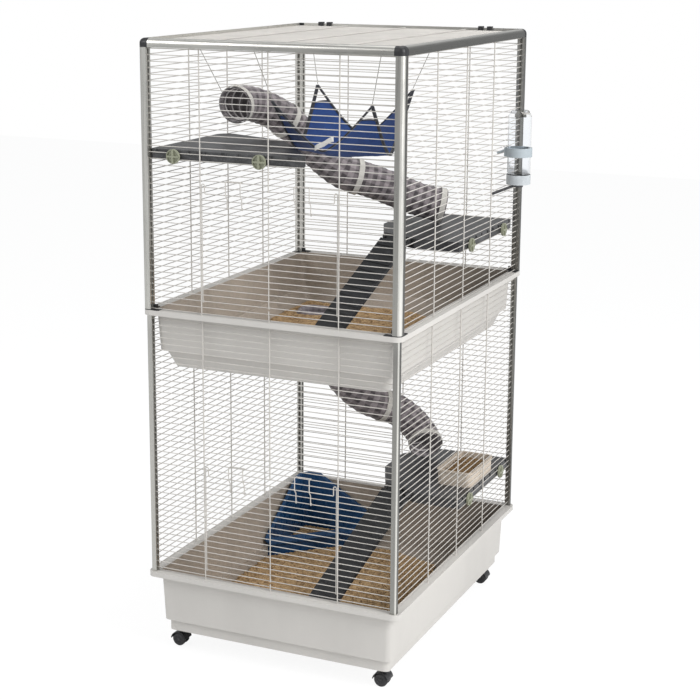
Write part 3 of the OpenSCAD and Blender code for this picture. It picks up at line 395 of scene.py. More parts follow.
def cloth_finish(name, light, dark, around, along, check=True, sheen=0.25, uneven=0.5, glow=0.0):
    """Woven cloth on the piece's own map: u runs round, v along, both in cells of the check."""
    # glow makes the cloth emit its light colour: painted light, not a lamp
    f = Finish(name, light, 0.85, 0.0, Sheen_Weight=sheen, Sheen_Roughness=0.5,
               Emission_Color=(*light, 1), Emission_Strength=glow)
    uv = f.node("ShaderNodeUVMap")
    uv.uv_map = "cloth"
    base = uv.outputs[0]
    crumple = f.grain(f.place, 55, 5, 0.65)
    thread = f.node("ShaderNodeTexWave")
    thread.wave_type = "BANDS"
    thread.bands_direction = "X"
    f.put(f.scaled(base, (around * 16, along * 16, 1)), thread.inputs["Vector"])
    thread.inputs["Scale"].default_value = 1
    thread.inputs["Distortion"].default_value = 1.5
    if check:
        warp = f.node("ShaderNodeVectorMath")
        warp.operation = "ADD"
        f.put(f.scaled(base, (around, along, 1)), warp.inputs[0])
        wobble = f.node("ShaderNodeTexNoise")
        wobble.inputs["Scale"].default_value = 30
        f.put(f.place, wobble.inputs["Vector"])
        f.put(f.scaled_by(wobble.outputs["Color"], 0.35), warp.inputs[1])
        u, v, _ = f.parts(warp.outputs[0])
        bars = [f.step(f.maths("SINE", f.maths("MULTIPLY", x, 2 * math.pi)), -0.35, 0.35) for x in (u, v)]
        both = f.maths("ADD", f.maths("MULTIPLY", bars[0], 0.45), f.maths("MULTIPLY", bars[1], 0.55))
        share = f.maths("ADD", f.maths("MULTIPLY", both, 0.75),
                        f.maths("MULTIPLY", f.step(crumple, 0.3, 0.7), uneven * 0.5))
    else:
        share = f.maths("MULTIPLY", f.step(crumple, 0.25, 0.75), uneven)
    f.colour(f.blend(share, light, dark))
    low = f.bump(crumple, 0.6, 0.0016)
    f.bump(thread.outputs["Fac"], 0.25, 0.0003, low)
    return f.mat


def pellet_finish(name, light, dark):
    f = Finish(name, light, 0.9)
    own = f.node("ShaderNodeAttribute")
    own.attribute_name = "shade"
    fibre = f.grain(f.place, 600, 4, 0.7)
    f.colour(f.blend(f.mean(0.7, own.outputs["Fac"], fibre), dark, light))
    f.bump(fibre, 0.7, 0.0004)
    return f.mat


make_camera()
make_studio()
make_floor()

M = {
    "tray": tray_finish(),
    "upright": aluminium_finish("aluminium_upright", (1, 1, 0.02)),
    "across": aluminium_finish("aluminium_across", (0.02, 1, 1)),
    "deep": aluminium_finish("aluminium_deep", (1, 0.02, 1)),
    "black": moulded("black_plastic", (0.018, 0.018, 0.02), 0.42, 0.2).mat,
    "wire": wire_finish(),
    "cord": moulded("cord_wire", (0.27, 0.26, 0.235), 0.35, 0.15).mat,
    "shelf": shelf_finish(),
    "knob": moulded("knob_plastic", (0.29, 0.30, 0.22), 0.42, 0.12).mat,
    "ramp": ramp_finish(),
    "bottle": bottle_finish(),
    "cap": cap_finish(),
    "clip": moulded("clip_plastic", (0.40, 0.45, 0.48), 0.32, 0.08).mat,
    "trough": moulded("trough_plastic", (0.60, 0.52, 0.43), 0.42, 0.05).mat,
    "toilet": moulded("toilet_plastic", (0.018, 0.07, 0.175), 0.3, 0.25, streak=(1, 1, 0.5)).mat,
    "castor": moulded("castor_plastic", (0.022, 0.022, 0.024), 0.38, 0.2).mat,
    "tread": moulded("castor_tread", (0.03, 0.03, 0.032), 0.6, 0.2).mat,
    "tunnel": cloth_finish("tunnel_cloth", (0.30, 0.265, 0.275), (0.038, 0.031, 0.036), 1, 1),
    # the lining and the hoop tape glow a little: painted light
    "lining": cloth_finish("tunnel_lining", (0.34, 0.31, 0.32), (0.05, 0.045, 0.05), 1, 1, glow=0.04),
    "hoop": cloth_finish("hoop_tape", (0.70, 0.67, 0.67), (0.52, 0.49, 0.49), 1, 1, check=False, glow=0.1),
    "cuff": cloth_finish("tunnel_cuff", (0.40, 0.36, 0.385), (0.22, 0.195, 0.21), 1, 1),
    "band": cloth_finish("band_tape", (0.57, 0.55, 0.51), (0.40, 0.385, 0.36), 1, 1, check=False),
    "hammock": cloth_finish("hammock_cloth", (0.008, 0.045, 0.19), (0.004, 0.020, 0.095), 30, 30, check=False,
                            sheen=0.08),
    "binding": cloth_finish("hammock_binding", (0.018, 0.02, 0.028), (0.01, 0.01, 0.014), 1, 1, check=False),
    "tag": cloth_finish("hammock_tag", (0.80, 0.79, 0.77), (0.66, 0.65, 0.63), 1, 1, check=False),
    "strip": moulded("groove_strip", (0.13, 0.125, 0.11), 0.6, 0.25).mat,
    "pellet": pellet_finish("wood_pellet", (0.63, 0.435, 0.235), (0.23, 0.14, 0.068)),
    "food": pellet_finish("dry_food", (0.26, 0.16, 0.07), (0.10, 0.055, 0.025)),
}

NODE_FINISH = {
    "base_tray": "tray", "middle_tray": "tray", "lower_posts": "upright",
    "front_rear_rails": "across", "side_rails": "deep", "corner_caps": "black",
    "corner_plates": "black", "roof_grille": "wire", "roof_hinge_clips": "black",
    "upper_left_shelf": "shelf", "upper_right_shelf": "shelf", "lower_shelf": "shelf",
    "upper_ramp": "ramp", "lower_ramp": "ramp", "tunnel_hanger": "cord", "hammock_cords": "cord",
    "bottle_body": "bottle", "bottle_spout_cap": "cap", "bottle_clip": "clip",
    "food_trough": "trough", "corner_toilet": "toilet",
}


def finish_of(node):
    if node in NODE_FINISH:
        return NODE_FINISH[node]
    for word, name in (("upper_post", "upright"), ("wall", "wire"), ("door", "wire"), ("knob", "knob"),
                       ("castor_fork", "castor"), ("castor_wheels", "tread")):
        if word in node:
            return name
    return "black"


for node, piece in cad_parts.items():
    piece.data.materials.clear()
    piece.data.materials.append(M[finish_of(node)])


# ---------------------------------------------------------------- making pieces

def add_mesh(name, verts, faces, finish, smooth=True, body="cage"):
    mesh = bpy.data.meshes.new(name)
    mesh.from_pydata([tuple(v) for v in verts], [], faces)
    mesh.materials.append(M[finish])
    for p in mesh.polygons:
        p.use_smooth = smooth
    mesh.update()
    piece = bpy.data.objects.new(name, mesh)
    bpy.context.scene.collection.objects.link(piece)
    if body:
        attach(piece, body)
    return piece


def set_map(piece, coords):
    """Writes the cloth map: one (u, v) for each vertex."""
    layer = piece.data.uv_layers.new(name="cloth")
    index = np.zeros(len(piece.data.loops), np.int32)
    piece.data.loops.foreach_get("vertex_index", index)
    layer.data.foreach_set("uv", np.array(coords, np.float32)[index].ravel())


def sweep(line, radius, sides=8, closed=False, flat=1.0, up=Vector((0, 0, 1))):
    """Rings of a tube along a line of points, with flat as the share of its thickness."""
    verts, faces = [], []
    n = len(line)
    for i, p in enumerate(line):
        a = line[i - 1] if (i or closed) else p
        b = line[(i + 1) % n] if (i < n - 1 or closed) else p
        t = (b - a).normalized()
        side = (up - up.dot(t) * t).normalized()
        other = t.cross(side)
        for k in range(sides):
            w = 2 * math.pi * k / sides
            verts.append(p + radius * (math.cos(w) * flat * side + math.sin(w) * other))
    for i in range(n if closed else n - 1):
        for k in range(sides):
            j, m = (i + 1) % n, (k + 1) % sides
            faces.append((i * sides + k, j * sides + k, j * sides + m, i * sides + m))
    if not closed:
        faces.append(tuple(range(sides)))
        faces.append(tuple(reversed(range((n - 1) * sides, n * sides))))
    return verts, faces


def join_sets(sets):
    verts, faces = [], []
    for v, f in sets:
        o = len(verts)
        verts += v
        faces += [tuple(i + o for i in face) for face in f]
    return verts, faces


# ---------------------------------------------------------------- repeats by Geometry Nodes

def take_result(piece, name, body):
    """Turns what the node tree makes into a plain mesh of its own."""
    graph = bpy.context.evaluated_depsgraph_get()
    mesh = bpy.data.meshes.new_from_object(piece.evaluated_get(graph), depsgraph=graph)
    piece.modifiers.clear()
    bpy.data.objects.remove(piece)
    mesh.name = name
    made = bpy.data.objects.new(name, mesh)
    bpy.context.scene.collection.objects.link(made)
    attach(made, body)
    return made


def tree_inputs(tree, named):
    tree.interface.new_socket("Geometry", in_out="INPUT", socket_type="NodeSocketGeometry")
    tree.interface.new_socket("Geometry", in_out="OUTPUT", socket_type="NodeSocketGeometry")
    return {n: tree.interface.new_socket(n, in_out="INPUT", socket_type=k).identifier for n, k in named}


def run_tree(piece, tree, ids, values):
    mod = piece.modifiers.new(tree.name, "NODES")
    mod.node_group = tree
    for key, value in values.items():
        mod[ids[key]] = value
    bpy.context.view_layer.update()


def row_tree():
    """Copies the piece's own mesh along a line: count, step vector, finish."""
    tree = bpy.data.node_groups.new("row_of_copies", "GeometryNodeTree")
    ids = tree_inputs(tree, (("Count", "NodeSocketInt"), ("Step", "NodeSocketVector"),
                             ("Finish", "NodeSocketMaterial")))
    n, link = tree.nodes.new, tree.links.new
    start, end = n("NodeGroupInput"), n("NodeGroupOutput")
    line = n("GeometryNodeMeshLine")
    link(start.outputs["Count"], line.inputs["Count"])
    link(start.outputs["Step"], line.inputs["Offset"])
    put = n("GeometryNodeInstanceOnPoints")
    link(line.outputs[0], put.inputs["Points"])
    link(start.outputs["Geometry"], put.inputs["Instance"])
    real = n("GeometryNodeRealizeInstances")
    link(put.outputs[0], real.inputs[0])
    paint = n("GeometryNodeSetMaterial")
    link(real.outputs[0], paint.inputs["Geometry"])
    link(start.outputs["Finish"], paint.inputs["Material"])
    link(paint.outputs[0], end.inputs[0])
    return tree, ids


def scatter_tree():
    """Strews short pellets over a mesh: density, seed, length, thickness, finish."""
    tree = bpy.data.node_groups.new("strewn_pellets", "GeometryNodeTree")
    ids = tree_inputs(tree, (("Density", "NodeSocketFloat"), ("Seed", "NodeSocketInt"),
                             ("Length", "NodeSocketFloat"), ("Radius", "NodeSocketFloat"),
                             ("Tilt", "NodeSocketFloat"), ("Finish", "NodeSocketMaterial")))
    n, link = tree.nodes.new, tree.links.new
    start, end = n("NodeGroupInput"), n("NodeGroupOutput")
    dots = n("GeometryNodeDistributePointsOnFaces")
    link(start.outputs["Geometry"], dots.inputs["Mesh"])
    link(start.outputs["Density"], dots.inputs["Density"])
    link(start.outputs["Seed"], dots.inputs["Seed"])
    grub = n("GeometryNodeMeshCylinder")
    grub.inputs["Vertices"].default_value = 6
    link(start.outputs["Radius"], grub.inputs["Radius"])
    link(start.outputs["Length"], grub.inputs["Depth"])
    tilt = n("ShaderNodeMath")
    tilt.operation = "MULTIPLY"
    tilt.inputs[1].default_value = -1
    link(start.outputs["Tilt"], tilt.inputs[0])
    low, high = n("ShaderNodeCombineXYZ"), n("ShaderNodeCombineXYZ")
    for box, sign in ((low, -1), (high, 1)):
        box.inputs[0].default_value = math.pi / 2
        box.inputs[1].default_value = 0
        box.inputs[2].default_value = sign * math.pi
    link(tilt.outputs[0], low.inputs[1])
    link(start.outputs["Tilt"], high.inputs[1])
    turn = n("FunctionNodeRandomValue")
    turn.data_type = "FLOAT_VECTOR"
    link(low.outputs[0], turn.inputs["Min"])
    link(high.outputs[0], turn.inputs["Max"])
    link(start.outputs["Seed"], turn.inputs["Seed"])
    size = n("FunctionNodeRandomValue")
    size.data_type = "FLOAT"
    size.inputs[2].default_value = 0.65
    size.inputs[3].default_value = 1.25
    link(start.outputs["Seed"], size.inputs["Seed"])
    put = n("GeometryNodeInstanceOnPoints")
    link(dots.outputs["Points"], put.inputs["Points"])
    link(grub.outputs["Mesh"], put.inputs["Instance"])
    link(turn.outputs[0], put.inputs["Rotation"])
    link(size.outputs[1], put.inputs["Scale"])
    shade = n("FunctionNodeRandomValue")
    shade.data_type = "FLOAT"
    link(start.outputs["Seed"], shade.inputs["Seed"])
    keep = n("GeometryNodeStoreNamedAttribute")
    keep.data_type = "FLOAT"
    keep.domain = "INSTANCE"
    keep.inputs["Name"].default_value = "shade"
    link(put.outputs[0], keep.inputs["Geometry"])
    link(shade.outputs[1], keep.inputs["Value"])
    real = n("GeometryNodeRealizeInstances")
    link(keep.outputs[0], real.inputs[0])
    paint = n("GeometryNodeSetMaterial")
    link(real.outputs[0], paint.inputs["Geometry"])
    link(start.outputs["Finish"], paint.inputs["Material"])
    link(paint.outputs[0], end.inputs[0])
    return tree, ids


ROW, ROW_IDS = row_tree()
SCATTER, SCATTER_IDS = scatter_tree()


def row(name, verts, faces, count, step, finish, body="cage"):
    seed = add_mesh(name + "_one", verts, faces, finish, False, None)
    run_tree(seed, ROW, ROW_IDS, {"Count": count, "Step": tuple(step), "Finish": M[finish]})
    return take_result(seed, name, body)


def strew(name, verts, faces, density, seed, length, radius, tilt, finish, body="cage"):
    bed = add_mesh(name + "_bed", verts, faces, finish, False, None)
    run_tree(bed, SCATTER, SCATTER_IDS, {"Density": density, "Seed": seed, "Length": length,
                                         "Radius": radius, "Tilt": tilt, "Finish": M[finish]})
    return take_result(bed, name, body)


def block(lo, hi):
    (x0, y0, z0), (x1, y1, z1) = lo, hi
    verts = [(x, y, z) for z in (z0, z1) for y in (y0, y1) for x in (x0, x1)]
    faces = [(0, 2, 3, 1), (4, 5, 7, 6), (0, 1, 5, 4), (2, 6, 7, 3), (1, 3, 7, 5), (0, 4, 6, 2)]
    return [Vector(v) for v in verts], faces


# ---------------------------------------------------------------- sizes shared with the CAD, mm

WALL_X, WALL_Y, TOP = 350, 450, 1601
POST, LOW_POST, LOW_INSET = 22, 15, 6
PITCH = 15.8
MID_RIM, RIM_H = 925, 13
MID_FLOOR, BASE_FLOOR, TRAY_T = 771, 56, 3
UPPER_WIRE_Z, LOWER_WIRE_Z = 928.6, 237
RIGHT_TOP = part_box("upper_right_shelf")[1].z / MM
LOW_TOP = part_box("lower_shelf")[1].z / MM


# ---------------------------------------------------------------- post grooves

TOOTH_GAP, TOOTH_HALF, TOOTH_OFF = 2.1, 1.2, 2.6
TOOTH_OUT, TOOTH_IN = 0.2, 1.6


def groove_strips():
    """Dark toothed strips in the grooves of every post; the wires end between the teeth."""
    storeys = (("upper", UPPER_WIRE_Z, TOP - POST, WALL_X, WALL_Y, POST),
               ("lower", LOWER_WIRE_Z, MID_RIM - RIM_H, WALL_X - LOW_INSET, WALL_Y - LOW_INSET, LOW_POST))
    for tag, z0, z1, out_x, out_y, post in storeys:
        rows = int((z1 - z0) / PITCH)
        mid_x, mid_y, in_x, in_y = out_x - post / 2, out_y - post / 2, out_x - post, out_y - post
        lo, hi = z0 + TOOTH_GAP, z0 + PITCH - TOOTH_GAP
        seeds = []
        for sx, sy, half in [(x, y, h) for x in (-1, 1) for y in (-1, 1) for h in (-1, 1)]:
            y = sy * mid_y + half * TOOTH_OFF
            a = at(sx * (in_x - TOOTH_OUT), y - TOOTH_HALF, lo)
            b = at(sx * (in_x + TOOTH_IN), y + TOOTH_HALF, hi)
            seeds.append(block((min(a.x, b.x), a.y, a.z), (max(a.x, b.x), b.y, b.z)))
            x = sx * mid_x + half * TOOTH_OFF
            a = at(x - TOOTH_HALF, sy * (in_y - TOOTH_OUT), lo)
            b = at(x + TOOTH_HALF, sy * (in_y + TOOTH_IN), hi)
            seeds.append(block((a.x, min(a.y, b.y), a.z), (b.x, max(a.y, b.y), b.z)))
        row(tag + "_groove_strips", *join_sets(seeds), rows, (0, 0, PITCH * MM), "strip")


# ---------------------------------------------------------------- cloth tunnels

TUBE_R, BAND_W = 47.5, 15
BAND_HALF = BAND_W / 2 + 3
BAND_R, BAND_T = TUBE_R + 0.35, 1.8


def unit(v):
    return Vector(v).normalized()


def band_low(d):
    flat = math.sqrt(1 - d.z ** 2)
    return max((BAND_R + BAND_T) * flat + BAND_W / 2 * abs(d.z), TUBE_R * flat + BAND_HALF * abs(d.z)) + 0.2


def stations(points, directions):
    return [(Vector(p), unit(d)) for p, d in zip(points, directions)]


UP_DIRS = [(0.04, 0.98, 0.08), (0.395, 0.72, -0.57), (0.771, 0.574, -0.275), (0.86, 0.46, -0.22)]
UP_STATIONS = stations(
    [(-255, -118, TOP - 186), (-184, 27, TOP - 238), (-12, 109, RIGHT_TOP + 133),
     (183, 236, RIGHT_TOP + band_low(unit(UP_DIRS[3])))], UP_DIRS)
HOLE = (-215, 287)
LOW_DIRS = [(0.2, 0.05, -0.978), (0.66, 0.68, -0.31), (0.5, -0.74, -0.45)]
LOW_STATIONS = stations(
    [(HOLE[0] + 4, HOLE[1], MID_FLOOR - 30), (-7, HOLE[1] + 13, LOW_TOP + 152),
     (120, 320, LOW_TOP + band_low(unit(LOW_DIRS[2])))], LOW_DIRS)


def hermite(p0, t0, p1, t1, s):
    reach = (p1 - p0).length
    return ((2 * s ** 3 - 3 * s ** 2 + 1) * p0 + (s ** 3 - 2 * s ** 2 + s) * reach * t0
            + (3 * s ** 2 - 2 * s ** 3) * p1 + (s ** 3 - s ** 2) * reach * t1)


def centre_line(places, steps=60):
    """Fine points of a tunnel's middle, straight under its bands."""
    pts = []
    for i, (p, d) in enumerate(places):
        pts += [p + d * (BAND_HALF * (k / 4 - 1)) for k in range(9)]
        if i < len(places) - 1:
            q, e = places[i + 1]
            a, b = p + d * BAND_HALF, q - e * BAND_HALF
            pts += [hermite(a, d, b, e, k / steps) for k in range(1, steps)]
    return pts


def evened(points, step):
    """The same line with points a step apart."""
    reach = [0]
    for a, b in zip(points, points[1:]):
        reach.append(reach[-1] + (b - a).length)
    count = max(2, round(reach[-1] / step))
    out, j = [], 0
    for k in range(count + 1):
        s = reach[-1] * k / count
        while j < len(points) - 2 and reach[j + 1] < s:
            j += 1
        part = (s - reach[j]) / max(1e-9, reach[j + 1] - reach[j])
        out.append(points[j].lerp(points[j + 1], min(1, part)))
    return out, reach[-1]


def frames(line, side):
    """A steady pair of cross directions for each point of a line."""
    out = []
    n = Vector(side)
    for i, p in enumerate(line):
        t = (line[min(i + 1, len(line) - 1)] - line[max(i - 1, 0)]).normalized()
        n = (n - n.dot(t) * t).normalized()
        out.append((p, t, n, t.cross(n)))
    return out


CLOTH_STEP, CLOTH_SIDES, CLOTH_THICK = 3.5, 72, 1.6
HOOP_STEP, HOOP_IN, HOOP_SIDES = 21, 6.2, 40
CELLS_ROUND, CELL_LONG = 12, 25


def cloth_radius(w, s, seed, hoop, slack):
    """The cloth's radius at angle w and length s: in between its hoops, gathered and crumpled."""
    q = Vector((math.cos(w) * 2.1, math.sin(w) * 2.1, s / 24 + seed))
    crumple = noise.noise(q * 1.5) * 1.5 + noise.noise(q * 4.1) * 0.6
    gather = 0.45 * math.sin(w * 22 + 2.2 * math.sin(s / 31 + seed) + 0.8 * math.sin(w * 3))
    dip = -2.3 * hoop ** 1.4 - 0.35
    return min(TUBE_R - 1.0 + slack * (dip * 0.9 + crumple + gather) * 0.8, TUBE_R + 1.2)


def cloth_skin(rings, step, length, hoops, band_places, seed):
    """The outer cloth, and 1.6 mm inside it the lining, closed at both ends."""
    verts, coords = [], []
    sides, rows = CLOTH_SIDES, len(rings) - 1
    for i, (p, t, n, b) in enumerate(rings):
        s = i * step
        near = min(abs(s - c) for c in band_places)
        slack = min(1, max(0, (near - BAND_HALF + 2) / 14))
        hoop = abs(math.sin(math.pi * s / length * hoops))
        for k in range(sides):
            w = 2 * math.pi * k / sides
            out = math.cos(w) * n + math.sin(w) * b
            verts.append(at(*(p + out * cloth_radius(w, s, seed, hoop, slack))))
            coords.append((k / sides * CELLS_ROUND, s / CELL_LONG))
    faces = []
    for i in range(rows):
        low, high = i * sides, (i + 1) * sides
        for k in range(sides):
            beside = (k + 1) % sides
            faces.append((low + beside, high + beside, high + k, low + k))
    inner = len(verts)
    for i, ring in enumerate(rings):
        middle = at(*ring[0])
        for outer in verts[i * sides:(i + 1) * sides]:
            verts.append(outer + (middle - outer).normalized() * CLOTH_THICK * MM)
    coords += coords
    faces += [tuple(inner + v for v in reversed(f)) for f in faces]
    last = rows * sides
    for k in range(sides):
        m = (k + 1) % sides
        faces.append((k, m, inner + m, inner + k))
        faces.append((last + m, last + k, inner + last + k, inner + last + m))
    return verts, faces, coords, last


def circle(p, n, b, radius):
    return [at(*(p + radius * (math.cos(w) * n + math.sin(w) * b)))
            for w in [2 * math.pi * k / HOOP_SIDES for k in range(HOOP_SIDES)]]


def cloth_tube(name, places, side, node, seed, lead=0):
    """The outer cloth, its lining and the hoops inside; lead is extra length at the start."""
    points = centre_line(places)
    if lead:
        points.insert(0, points[0] - places[0][1] * lead)
    line, length = evened(points, CLOTH_STEP)
    rings = frames(line, side)
    step = length / (len(line) - 1)
    band_places = [min(range(len(line)), key=lambda i: (line[i] - p).length) * step for p, d in places]
    hoops = max(2, round(length / HOOP_STEP))
    verts, faces, coords, outer_count = cloth_skin(rings, step, length, hoops, band_places, seed)
    piece = add_mesh(name, verts, faces, "tunnel", True, "cage")
    piece.data.materials.append(M["lining"])
    for i, poly in enumerate(piece.data.polygons):
        if i >= outer_count:
            poly.material_index = 1
    set_map(piece, coords)
    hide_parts(node)
    hoop_sets = []
    for h in range(1, hoops):
        p, t, n, b = rings[round(h * length / hoops / step)]
        hoop_sets.append(sweep(circle(p, n, b, TUBE_R - HOOP_IN), 1.9 * MM, 6, True, up=t))
    add_mesh(name + "_hoops", *join_sets(hoop_sets), "hoop")


def bands_of(name, places, node, slack_seed):
    """Light tapes round the tunnel, with rolled edges."""
    sets, coords = [], []
    sides = 64
    for idx, (p, d) in enumerate(places):
        n = unit(Vector((0, 0, 1)) - d.z * d)
        b = d.cross(n)
        half = BAND_W / 2
        profile = [(-half, 0.1), (-half, 1.3), (-half + 0.8, 1.75), (-half + 2.2, 1.35), (-2, 1.15),
                   (2, 1.2), (half - 2.2, 1.4), (half - 0.8, 1.8), (half, 1.3), (half, 0.1)]
        v, f = [], []
        for k in range(sides):
            w = 2 * math.pi * k / sides
            out = math.cos(w) * n + math.sin(w) * b
            pull = 0.35 * noise.noise(Vector((math.cos(w) * 3, math.sin(w) * 3, idx * 5 + slack_seed)))
            for x, h in profile:
                v.append(at(*(p + d * (x + pull * 2) + out * (BAND_R + h + pull))))
                coords.append((k / sides * 20, x / 8))
        m = len(profile)
        for k in range(sides):
            j = (k + 1) % sides
            for i in range(m):
                f.append((k * m + i, j * m + i, j * m + (i + 1) % m, k * m + (i + 1) % m))
        sets.append((v, f))
    piece = add_mesh(name, *join_sets(sets), "band")
    set_map(piece, coords)
    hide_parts(node)


def tunnel_cuff():
    """The cloth turned over the rim of the hole in the middle tray."""
    radius, up, wave, turns = 47, 8, 1.5, 48
    line = []
    for k in range(turns):
        w = 2 * math.pi * k / turns
        line.append(at(HOLE[0] + radius * math.cos(w), HOLE[1] + radius * math.sin(w),
                       MID_FLOOR + up + wave * math.sin(3 * w)))
    piece = add_mesh("lower_tunnel_cuff", *sweep(line, 8 * MM, 10, True, flat=1.5), "cuff")
    set_map(piece, [(v.co.x / 0.02, v.co.y / 0.02) for v in piece.data.vertices])


groove_strips()
cloth_tube("upper_tunnel_cloth", UP_STATIONS, (0, 0, 1), "upper_tunnel", 1.0)
cloth_tube("lower_tunnel_cloth", LOW_STATIONS, (0, 1, 0), "lower_tunnel", 7.0, lead=19)
tunnel_cuff()
bands_of("upper_tunnel_tapes", UP_STATIONS, "upper_tunnel_bands", 2)
bands_of("lower_tunnel_tapes", LOW_STATIONS, "lower_tunnel_bands", 9)


# ---------------------------------------------------------------- hammock

HAM = Vector((81, -184, TOP - 140))
HAM_X, HAM_Y, HAM_T, SAG, TILT = 133, 131, 5, 150, 10
PULL = 0.05
SIDE_RISE, FRONT_RISE, BACK_RISE = 8, 34, 25


def ham_z(u, v):
    q = abs(u * v) ** 1.35
    rise = SIDE_RISE * u * u + (FRONT_RISE if v < 0 else BACK_RISE) * v * v
    return HAM.z + TILT * v - SAG + rise * (1 - q) + SAG * q


def ham_p(u, v, dz=0.0):
    return Vector((HAM.x + HAM_X * u * (1 - PULL * (1 - v * v)),
                   HAM.y + HAM_Y * v * (1 - PULL * (1 - u * u)), ham_z(u, v) + dz))


HAM_CELLS, HAM_CUT = 56, 7
EDGE_R, STRAND_R = 5.0, 3.2


def ham_fold(u, v):
    """Soft folds of the hammock, in mm; none at its edges."""
    fold = 1.6 * noise.noise(Vector((u * 3.2, v * 3.2, 4.0)))
    fold += 0.7 * noise.noise(Vector((u * 9, v * 9, 1.0)))
    fold += 1.4 * math.sin(9 * (u + v)) * (u * v) ** 2
    fold += 1.2 * math.sin(8 * (u - v) + 1) * (1 - u * u) * (1 - v * v)
    return fold * (1 - max(abs(u), abs(v)) ** 6)


def hammock_cloth():
    """A four-cornered star of cloth, cut off short of its corners."""
    n = HAM_CELLS
    verts, coords, index = [], [], {}
    for j in range(n + 1):
        for i in range(n + 1):
            u, v = 2 * i / n - 1, 2 * j / n - 1
            if min(i + j, 2 * n - i - j, n - i + j, i + n - j) < HAM_CUT:
                continue
            index[(i, j)] = len(verts)
            verts.append(at(*ham_p(u, v, -HAM_T / 2 + ham_fold(u, v))))
            coords.append((u, v))
    faces = []
    for j in range(n):
        for i in range(n):
            keep = [index[c] for c in ((i, j), (i + 1, j), (i + 1, j + 1), (i, j + 1)) if c in index]
            if len(keep) >= 3:
                faces.append(tuple(keep))
    piece = add_mesh("hammock_cloth", verts, faces, "hammock", True, None)
    set_map(piece, coords)
    thick = piece.modifiers.new("thick", "SOLIDIFY")
    thick.thickness = CLOTH_THICK * MM
    thick.offset = 0
    graph = bpy.context.evaluated_depsgraph_get()
    solid = bpy.data.meshes.new_from_object(piece.evaluated_get(graph), depsgraph=graph)
    piece.modifiers.clear()
    piece.data = solid
    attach(piece, "roof")
    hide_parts("hammock")
    return piece


def hammock_binding():
    """The dark rolled edge: four long sides that meet at the corners, and a strand across each corner."""
    edges = []
    steps, strand = 48, 6
    for side in range(4):
        run = [2 * m / steps - 1 for m in range(steps + 1)]
        corners = [((s, -1), (1, s), (-s, 1), (-1, -s))[side] for s in run]
        edges.append(sweep([at(*ham_p(u, v, -HAM_T / 2)) for u, v in corners], EDGE_R * MM, 8, flat=0.5))
    c = 2 * HAM_CUT / HAM_CELLS
    for su, sv in ((-1, -1), (-1, 1), (1, -1), (1, 1)):
        run = [m / strand for m in range(strand + 1)]
        pts = [at(*ham_p(su * (1 - c * x), sv * (1 - c * (1 - x)), -HAM_T / 2)) for x in run]
        edges.append(sweep(pts, STRAND_R * MM, 8, flat=0.6))
    hem = add_mesh("hammock_binding", *join_sets(edges), "binding", True, "roof")
    set_map(hem, [(v.co.x / 0.004, v.co.y / 0.004) for v in hem.data.vertices])
    return hem


def hammock_tag():
    """A blank white tag sewn on the front edge."""
    wide, high, thick = 8, 4, 0.9
    row_len = wide + 1
    start = ham_p(-0.14, -1, -HAM_T / 2) + Vector((0, -5, -1))
    end = ham_p(0.24, -1, -HAM_T / 2) + Vector((0, -5, 17))
    face, back = [], []
    for j in range(high + 1):
        for i in range(row_len):
            p = start.lerp(end, i / wide)
            lift = -7 + 13 * j / high + 0.8 * math.sin(i * 1.3)
            lean = -1.4 * math.sin(math.pi * j / high) - 0.5 * math.sin(i * 0.9)
            face.append(at(p.x, p.y + lean, p.z + lift))
            back.append(at(p.x, p.y + lean + thick, p.z + lift))
    corners = [j * row_len + i for j in range(high) for i in range(wide)]
    cells = [(c, c + 1, c + row_len + 1, c + row_len) for c in corners]
    count = len(face)
    ring = (list(range(row_len)) + [j * row_len + wide for j in range(1, high + 1)]
            + [high * row_len + i for i in range(wide - 1, -1, -1)]
            + [j * row_len for j in range(high - 1, 0, -1)])
    rim = [(a, a + count, b + count, b) for a, b in zip(ring, ring[1:] + ring[:1])]
    behind = [tuple(c + count for c in reversed(f)) for f in cells]
    tag = add_mesh("hammock_tag", face + back, cells + behind + rim, "tag", True, "roof")
    set_map(tag, [(v.co.x / 0.004, v.co.z / 0.004) for v in tag.data.vertices])
    return tag


ham_piece = hammock_cloth()
ham_hem = hammock_binding()
ham_label = hammock_tag()


# ---------------------------------------------------------------- bedding and food

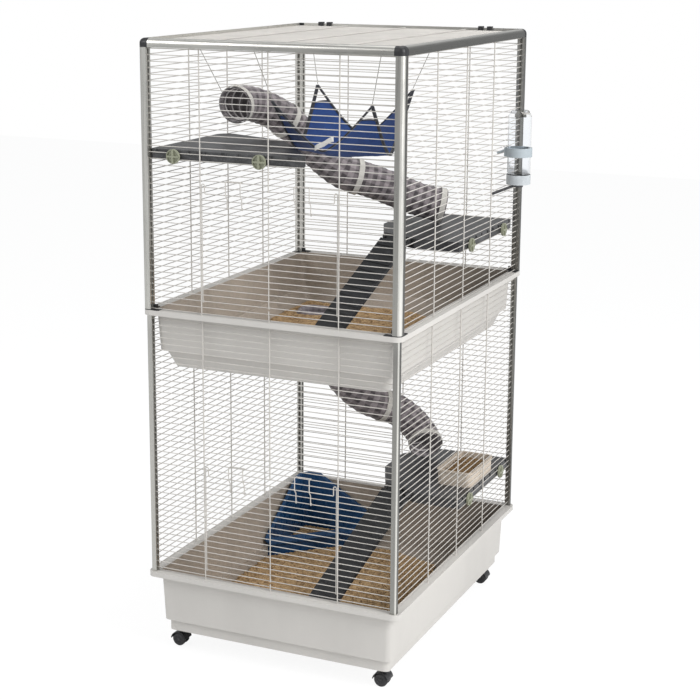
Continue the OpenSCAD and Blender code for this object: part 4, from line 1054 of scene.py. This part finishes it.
def heap(name, outline, floor, height, seed, density, length, radius, finish, edge=26, hole=None,
         body="cage", step=9):
    """A low heap inside an outline of points, in mm, strewn with pellets; hole is (x, y, radius)."""
    xs, ys = [p[0] for p in outline], [p[1] for p in outline]

    def inside(x, y):
        if hole and math.hypot(x - hole[0], y - hole[1]) < hole[2]:
            return False
        hit = False
        for (x0, y0), (x1, y1) in zip(outline, outline[1:] + outline[:1]):
            if (y0 > y) != (y1 > y) and x < (x1 - x0) * (y - y0) / (y1 - y0) + x0:
                hit = not hit
        return hit

    def rim(x, y):
        best = 1e9
        for (x0, y0), (x1, y1) in zip(outline, outline[1:] + outline[:1]):
            d = Vector((x1 - x0, y1 - y0))
            s = max(0, min(1, ((x - x0) * d.x + (y - y0) * d.y) / d.length_squared))
            best = min(best, math.hypot(x - x0 - s * d.x, y - y0 - s * d.y))
        if hole:
            best = min(best, math.hypot(x - hole[0], y - hole[1]) - hole[2])
        return best

    nx, ny = int((max(xs) - min(xs)) / step) + 1, int((max(ys) - min(ys)) / step) + 1
    verts, index = [], {}
    for j in range(ny + 1):
        for i in range(nx + 1):
            x, y = min(xs) + i * step, min(ys) + j * step
            if inside(x, y):
                rise = min(1, rim(x, y) / edge)
                bulk = 0.75 + 0.5 * noise.noise(Vector((x / 60, y / 60, seed)))
                index[(i, j)] = len(verts)
                verts.append(at(x, y, floor + 1.2 + height * math.sin(rise * math.pi / 2) * bulk))
    faces = []
    for j in range(ny):
        for i in range(nx):
            c = [(i, j), (i + 1, j), (i + 1, j + 1), (i, j + 1)]
            if all(k in index for k in c):
                faces.append(tuple(index[k] for k in c))
    ground = add_mesh(name + "_ground", verts, faces, finish, True, body)
    keep = ground.data.attributes.new("shade", "FLOAT", "POINT")
    keep.data.foreach_set("value", np.full(len(verts), 0.35, np.float32))
    strew(name, verts, faces, density, seed, length, radius, 0.5, finish, body)


BASE_IN, MID_IN = BASE_FLOOR + TRAY_T, MID_FLOOR + TRAY_T
heap("base_pellets",
     [(-304, -405), (300, -405), (302, -200), (262, -60), (226, 80), (172, 290), (4, 340), (-140, 312),
      (-236, 214), (-304, 146)],
     BASE_IN, 12, 11, 23000, 0.011, 0.0028, "pellet")
heap("middle_pellets",
     [(-300, 404), (-304, 180), (-272, 70), (-150, 30), (10, 10), (140, 60), (210, 180), (160, 320),
      (50, 404)],
     MID_IN, 12, 12, 26000, 0.011, 0.0028, "pellet", hole=(*HOLE, 56))


def local_outline(node, inset):
    """The box of a node seen from above, an inset inside, in cage millimetres."""
    lo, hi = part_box(node)
    x0, x1 = (lo.x - SHIFT) / MM + inset, (hi.x - SHIFT) / MM - inset
    y0, y1 = lo.y / MM + inset, hi.y / MM - inset
    return x0, y0, x1, y1


x0, y0, x1, y1 = local_outline("food_trough", 9)
heap("trough_food", [(x0, y0), (x1, y0), (x1, y1), (x0, y1)], LOW_TOP + 20, 8, 21, 60000, 0.007, 0.0034,
     "food", edge=20, body="food_trough", step=6)
x0, y0, x1, y1 = local_outline("corner_toilet", 12)
heap("toilet_litter", [(x0, y1), (x0, y0 + 14), (x1 - 14, y1)], BASE_IN + 12, 6, 22, 26000, 0.011, 0.0028,
     "pellet", edge=20, body="corner_toilet")
